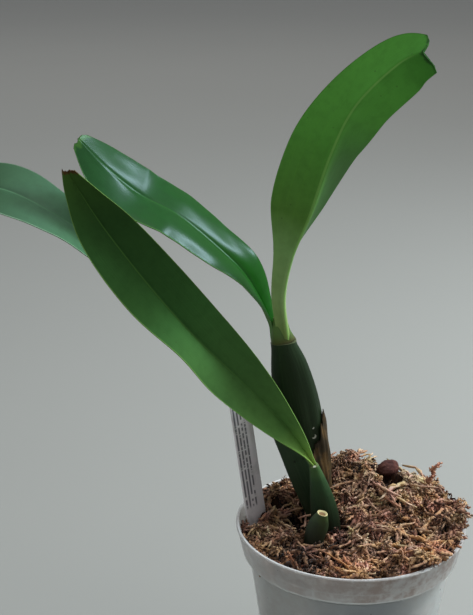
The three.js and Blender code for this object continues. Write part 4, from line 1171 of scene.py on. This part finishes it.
# small overlapping scale leaves along lines, each a closed sliver
def scaleLeaves(lines, tone, rust, kind, random):
    count, steps, leafCount = len(lines), lines.shape[1], kind["leafCount"]
    place = np.linspace(0.0, 0.97, leafCount) * (steps - 1)
    i = np.minimum(place.astype(int), steps - 2)
    w = (place - i)[None, :, None]
    foot = lines[:, i] * (1 - w) + lines[:, i + 1] * w
    along = unit(lines[:, i + 1] - lines[:, i])
    spin = np.arange(leafCount) * 2.4 + random.uniform(0, 6.28, (count, 1))
    spin = spin + random.normal(0, 0.3, (count, leafCount))
    up, side = lineFrames(along)
    out = up * np.cos(spin)[..., None] + side * np.sin(spin)[..., None]
    across = np.cross(along, out)
    shape = (count, leafCount, 1)
    long = random.uniform(*kind["leafLong"], shape)
    wide = random.uniform(*kind["leafWide"], shape)
    lean = random.uniform(*kind["leafLean"], (count, 1, 1)) * random.uniform(0.7, 1.3, shape)
    middle = foot + along * long * 0.5 + out * (kind["girth"][0] + long * 0.35 * lean)
    tip = foot + along * long * (1.05 - 0.35 * lean) + out * long * 0.55 * lean
    tip = tip + across * random.normal(0, 0.15, shape)
    belly = unit(out * 0.8 - along * 0.4)
    slivers = np.stack([foot, middle + across * wide, middle - across * wide, middle + belly * 0.25, tip], 2)
    sliverFaces = np.array([[0, 2, 1], [0, 1, 3], [0, 3, 2], [4, 1, 2], [4, 3, 1], [4, 2, 3]])
    triangles = (sliverFaces[None] + (np.arange(count * leafCount) * 5)[:, None, None]).reshape(-1, 3)
    leafTone = np.clip(tone[:, None] + random.normal(0, 0.05, (count, leafCount)), 0.03, 1)
    return (slivers.reshape(-1, 3), triangles, np.repeat(leafTone.ravel(), 5),
            np.repeat(np.repeat(rust, leafCount), 5))


# leafy branches like soft ropes: a core with scale leaves
def makeMossRopes(name, kind):
    random = np.random.default_rng(kind["seed"])
    lines = shredLines(kind, random)
    lines = lines[clearOfThings(lines)]
    count, steps = lines.shape[:2]
    girth = random.uniform(*kind["girth"], count)[:, None] * (1 - 0.5 * np.linspace(0, 1, steps))
    core, quads, caps = tubes(lines, girth, girth, random)
    tone, rust = mossTone(lines[:, steps // 2, 0], lines[:, steps // 2, 1], random)
    leavesAt, triangles, leafTone, leafRust = scaleLeaves(lines, tone, rust, kind, random)
    makePiece(name, np.concatenate([core, leavesAt]), [quads, caps, triangles + len(core)], driedMoss(name),
              "dried_moss", values={"tone": np.concatenate([np.repeat(tone - 0.12, steps * 3), leafTone]),
                                    "rust": np.concatenate([np.repeat(rust, steps * 3), leafRust])})


def makeMossHeads(name, kind):
    random = np.random.default_rng(kind["seed"])
    lines, tone, rust = headLines(kind, random)
    keep = clearOfThings(lines)
    lines, tone, rust = lines[keep], tone[keep], rust[keep]
    count, steps = lines.shape[:2]
    t = np.linspace(0, 1, steps)
    knobs = (-1.0) ** np.arange(steps)  # thick and thin by turns, like close leaves
    wide = random.uniform(*kind["girth"], count)[:, None] * np.sin(math.pi * (0.22 + 0.64 * t)) ** 0.7
    wide = wide * (1 + 0.22 * knobs) * random.uniform(0.8, 1.2, (count, steps))
    rings, quads, caps = tubes(lines, wide, wide, random, kind["sides"], math.pi / kind["sides"])
    # painted highlight: each branch grows paler towards its tip; the thick rings are also a little paler than
    # the thin
    shade = tone[:, None] + 0.3 * (t - 0.55) + 0.06 * knobs
    makePiece(name, rings, [quads, caps], driedMoss(name), "dried_moss",
              values={"tone": np.clip(np.repeat(shade.ravel(), kind["sides"]), 0.02, 1),
                      "rust": np.repeat(rust, steps * kind["sides"])})


mossRopes = {
    "mossRopesLow": {"count": 400, "seed": 31, "steps": 10, "length": (6, 14), "curl": 2.0, "kink": 0.6,
                     "lift": (-1.8, 0.2), "arch": (0, 1.6), "girth": (0.5, 0.8), "leafCount": 26,
                     "leafLong": (2.0, 3.2), "leafWide": (0.45, 0.75), "leafLean": (0.2, 0.5)},
    "mossRopesTop": {"count": 420, "seed": 32, "steps": 10, "length": (5, 12), "curl": 2.4, "kink": 0.6,
                     "lift": (-0.4, 1.2), "arch": (0, 2.0), "girth": (0.5, 0.85), "leafCount": 24,
                     "leafLong": (2.0, 3.2), "leafWide": (0.45, 0.8), "leafLean": (0.25, 0.6)},
}
mossHeads = {
    "mossHeadsWide": {"count": 190, "seed": 43, "branches": 8, "steps": 10, "length": (4.5, 8.5), "curl": 1.1,
                      "rise": (-8, 45), "droop": (0.2, 1.1), "lift": (-0.6, 0.8), "girth": (0.5, 0.88),
                      "sides": 5, "fromRelief": -0.8, "kink": 0.6},
    "mossHeadsTight": {"count": 170, "seed": 44, "branches": 9, "steps": 8, "length": (2.8, 5.2), "curl": 1.0,
                       "rise": (0, 70), "droop": (0.2, 1.2), "lift": (-0.2, 1.2), "girth": (0.4, 0.68),
                       "sides": 4, "fromRelief": 0.0, "kink": 0.35},
}
for name, kind in mossRopes.items():
    makeMossRopes(name, kind)
for name, kind in mossHeads.items():
    makeMossHeads(name, kind)


# bare stalks, broad curled shreds and fine hairs
mossShreds = [
    {"count": 70, "steps": 12, "length": (6, 12), "curl": 2.4, "lift": (-1.0, 1.8), "arch": (0, 2.2),
     "wide": (0.3, 0.6), "flat": 1.0, "shift": -0.06, "kink": 0.7},
    {"count": 160, "steps": 10, "length": (4, 8), "curl": 2.6, "lift": (0, 1.8), "arch": (0, 2.0),
     "wide": (0.7, 1.3), "flat": 0.3, "shift": 0.0, "kink": 0.5},
    {"count": 170, "steps": 10, "length": (4, 10), "curl": 2.2, "lift": (0.4, 2.6), "arch": (0, 2.2),
     "wide": (0.12, 0.2), "flat": 1.0, "shift": 0.1, "kink": 0.8},
]


def makeMossShreds():
    random = np.random.default_rng(77)
    points, faces, tones, rusts, start = [], [], [], [], 0
    for kind in mossShreds:
        lines = shredLines(kind, random)
        lines = lines[clearOfThings(lines)]
        t = np.linspace(0, 1, kind["steps"])
        taper = 0.35 + 0.65 * np.sin(math.pi * (0.12 + 0.8 * t))
        wide = random.uniform(*kind["wide"], len(lines))[:, None] * taper
        sides = 4 if kind["flat"] < 1 else 3
        rings, quads, caps = tubes(lines, wide, wide * kind["flat"], random, sides)
        tone, rust = mossTone(lines[:, 3, 0], lines[:, 3, 1], random)
        points.append(rings)
        faces += [quads + start, caps + start]
        tones.append(np.repeat(np.clip(tone + kind["shift"], 0, 1), kind["steps"] * sides))
        rusts.append(np.repeat(rust, kind["steps"] * sides))
        start += len(rings)
    makePiece("mossShreds", np.concatenate(points), faces, driedMoss("shreds"), "dried_moss",
              values={"tone": np.concatenate(tones), "rust": np.concatenate(rusts)})


makeMossShreds()


# leafy strand that stands up at the right, wound like a corkscrew
curl = {"x": 37.0, "y": 19.0, "height": 14.5, "radius": 0.9, "turns": 3.0, "thickness": 0.95, "lean": 3.6,
        "sunk": 3.0, "steps": 90, "sides": 8, "rust": 0.7,
        "leaves": {"leafCount": 60, "leafLong": (1.6, 2.6), "leafWide": (0.35, 0.6), "leafLean": (0.5, 0.8),
                   "girth": (0.7, 0.7)}}


def makeCurl():
    t = np.linspace(0, 1, curl["steps"])
    angle = fullTurn * curl["turns"] * t
    radius = curl["radius"] * np.minimum(1, 3 * t)
    base = float(mossHeight(np.array(curl["x"]), np.array(curl["y"]))) - curl["sunk"]
    line = np.stack([curl["x"] + radius * np.cos(angle) + curl["lean"] * t ** 3,
                     curl["y"] + radius * np.sin(angle), base + (curl["height"] + curl["sunk"]) * t], -1)
    random = np.random.default_rng(3)
    wide = curl["thickness"] * (1.3 - 0.7 * t ** 2) * (1 + 0.15 * np.sin(30 * t))
    rings, quads, caps = tubes(line[None], wide[None] * 1.1, wide[None] * 0.8, random, curl["sides"])
    tone = 0.28 + 0.42 * t + 0.08 * np.sin(40 * t)
    leavesAt, triangles, leafTone, _ = scaleLeaves(line[None, 20:], np.array([0.0]), np.array([0.6]),
                                                   curl["leaves"], random)
    leafTone = 0.25 + 0.5 * (leavesAt[:, 2] - base) / curl["height"] + 2 * leafTone
    tones = np.concatenate([np.repeat(tone, curl["sides"]), np.clip(leafTone, 0, 1)])
    makePiece("corkscrewStrand", np.concatenate([rings, leavesAt]), [quads, caps, triangles + len(rings)],
              driedMoss("corkscrew"), "dried_moss",
              values={"tone": tones, "rust": np.full(len(tones), curl["rust"])}, smooth=False)


makeCurl()
print("moss made")


# velamen, the skin of orchid roots: pale, spongy and dull, with brown stains 4 mm across
def corkyRoot():
    material, add = newMaterial("corkyVelamen")
    stain = add("TexNoise", add("TexCoord", out="Object"), Scale=1000 / 4, Detail=4.0)
    return setSurface(material, {
        "Base Color": add("ValToRGB", stain, stops=[(0.3, "#7d6a4c"), (0.5, "#b8a982"), (0.8, "#d8cfb2")]),
        "Roughness": 0.85, "Normal": add("Bump", Strength=0.5, Distance=0.4 * mm, Height=stain)})


# the rhizome and roots inside the moss keep their source mesh and only get this skin
rootMaterial = corkyRoot()
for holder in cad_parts["rhizome_roots"].material_slots:
    holder.material = rootMaterial
print("roots dressed")


# floor, light and camera, in metres
studio = {
    "floor": "#979690", "floorCloud": "#b9b8b2", "floorReach": 14.0, "world": "#dfe3e8", "worldStrength": 0.5,
    # place, aim, size, power, colour, and whether shiny surfaces mirror it
    "lights": {
        # its broad mirror image would whiten the waxy leaves
        "windowRight": [(0.87, 0.23, 0.92), (-0.03, 0.0, 0.16), (0.6, 0.36), 16.0, (0.9, 0.96, 1.0), False],
        "windowStreak": [(0.845, 0.18, 0.95), (-0.03, 0.0, 0.16), (0.15, 0.2), 5.2, (0.62, 0.83, 1.0), True],
        "softTop": [(0.1, -0.1, 1.2), (-0.03, 0.0, 0.16), (0.8, 0.8), 3.0, (1, 1, 1), True],
        "evenFloor": [(-0.1, 2.1, 1.6), (-0.1, 2.1, 0.0), (2.4, 1.2), 8.0, (1, 1, 1), False],
    },
    # focal length in pixels from the ellipse of the pot's rim, and the height of the frame
    "focalPixels": 1200, "framePixels": 615, "sensor": 36,
    "cameraPlace": (-0.0498, -0.4705, 0.3449), "cameraDown": 18.39,
}


# sheet of painted board: even, pale and matt, with faint clouds a third of a metre across
def paintedBoard():
    material, add = newMaterial("paleStudioBoard")
    mottle = add("TexNoise", add("TexCoord", out="Object"), Scale=3.0, Detail=2.0)
    colour = add("Mix", add("Math", mottle, 0.06, **times), studio["floor"], studio["floorCloud"], **paint)
    return setSurface(material, {"Base Color": colour, "Roughness": 0.7})


floorMesh = bpy.data.meshes.new("floor")
reach = studio["floorReach"]
corners = [(-reach, -reach, 0), (reach, -reach, 0), (reach, reach, 0), (-reach, reach, 0)]
floorMesh.from_pydata(corners, [], [(0, 1, 2, 3)])
floor = bpy.data.objects.new("floor", floorMesh)
floorMesh.materials.append(paintedBoard())
bpy.context.scene.collection.objects.link(floor)

world = bpy.data.worlds.new("softRoom")
bpy.context.scene.world = world
world.use_nodes = True
world.node_tree.nodes["Background"].inputs[0].default_value = toLinear(studio["world"])
world.node_tree.nodes["Background"].inputs[1].default_value = studio["worldStrength"]
for name, (place, aim, size, power, colour, mirrored) in studio["lights"].items():
    light = bpy.data.lights.new(name, "AREA")
    light.shape, light.energy, light.color = "RECTANGLE", power, colour
    light.size, light.size_y = size
    lamp = bpy.data.objects.new(name, light)
    lamp.location = place
    lamp.rotation_euler = (Vector(aim) - Vector(place)).to_track_quat("-Z", "Y").to_euler()
    lamp.visible_glossy = mirrored
    bpy.context.scene.collection.objects.link(lamp)
bpy.context.scene.view_settings.view_transform = "Standard"

camera = bpy.data.cameras.new("photoCamera")
camera.lens = studio["focalPixels"] / studio["framePixels"] * studio["sensor"]
camera.clip_start = 0.01
cameraObject = bpy.data.objects.new("photoCamera", camera)
cameraObject.location = studio["cameraPlace"]
cameraObject.rotation_euler = (math.radians(90 - studio["cameraDown"]), 0, 0)
bpy.context.scene.collection.objects.link(cameraObject)
bpy.context.scene.camera = cameraObject
print("studio made")
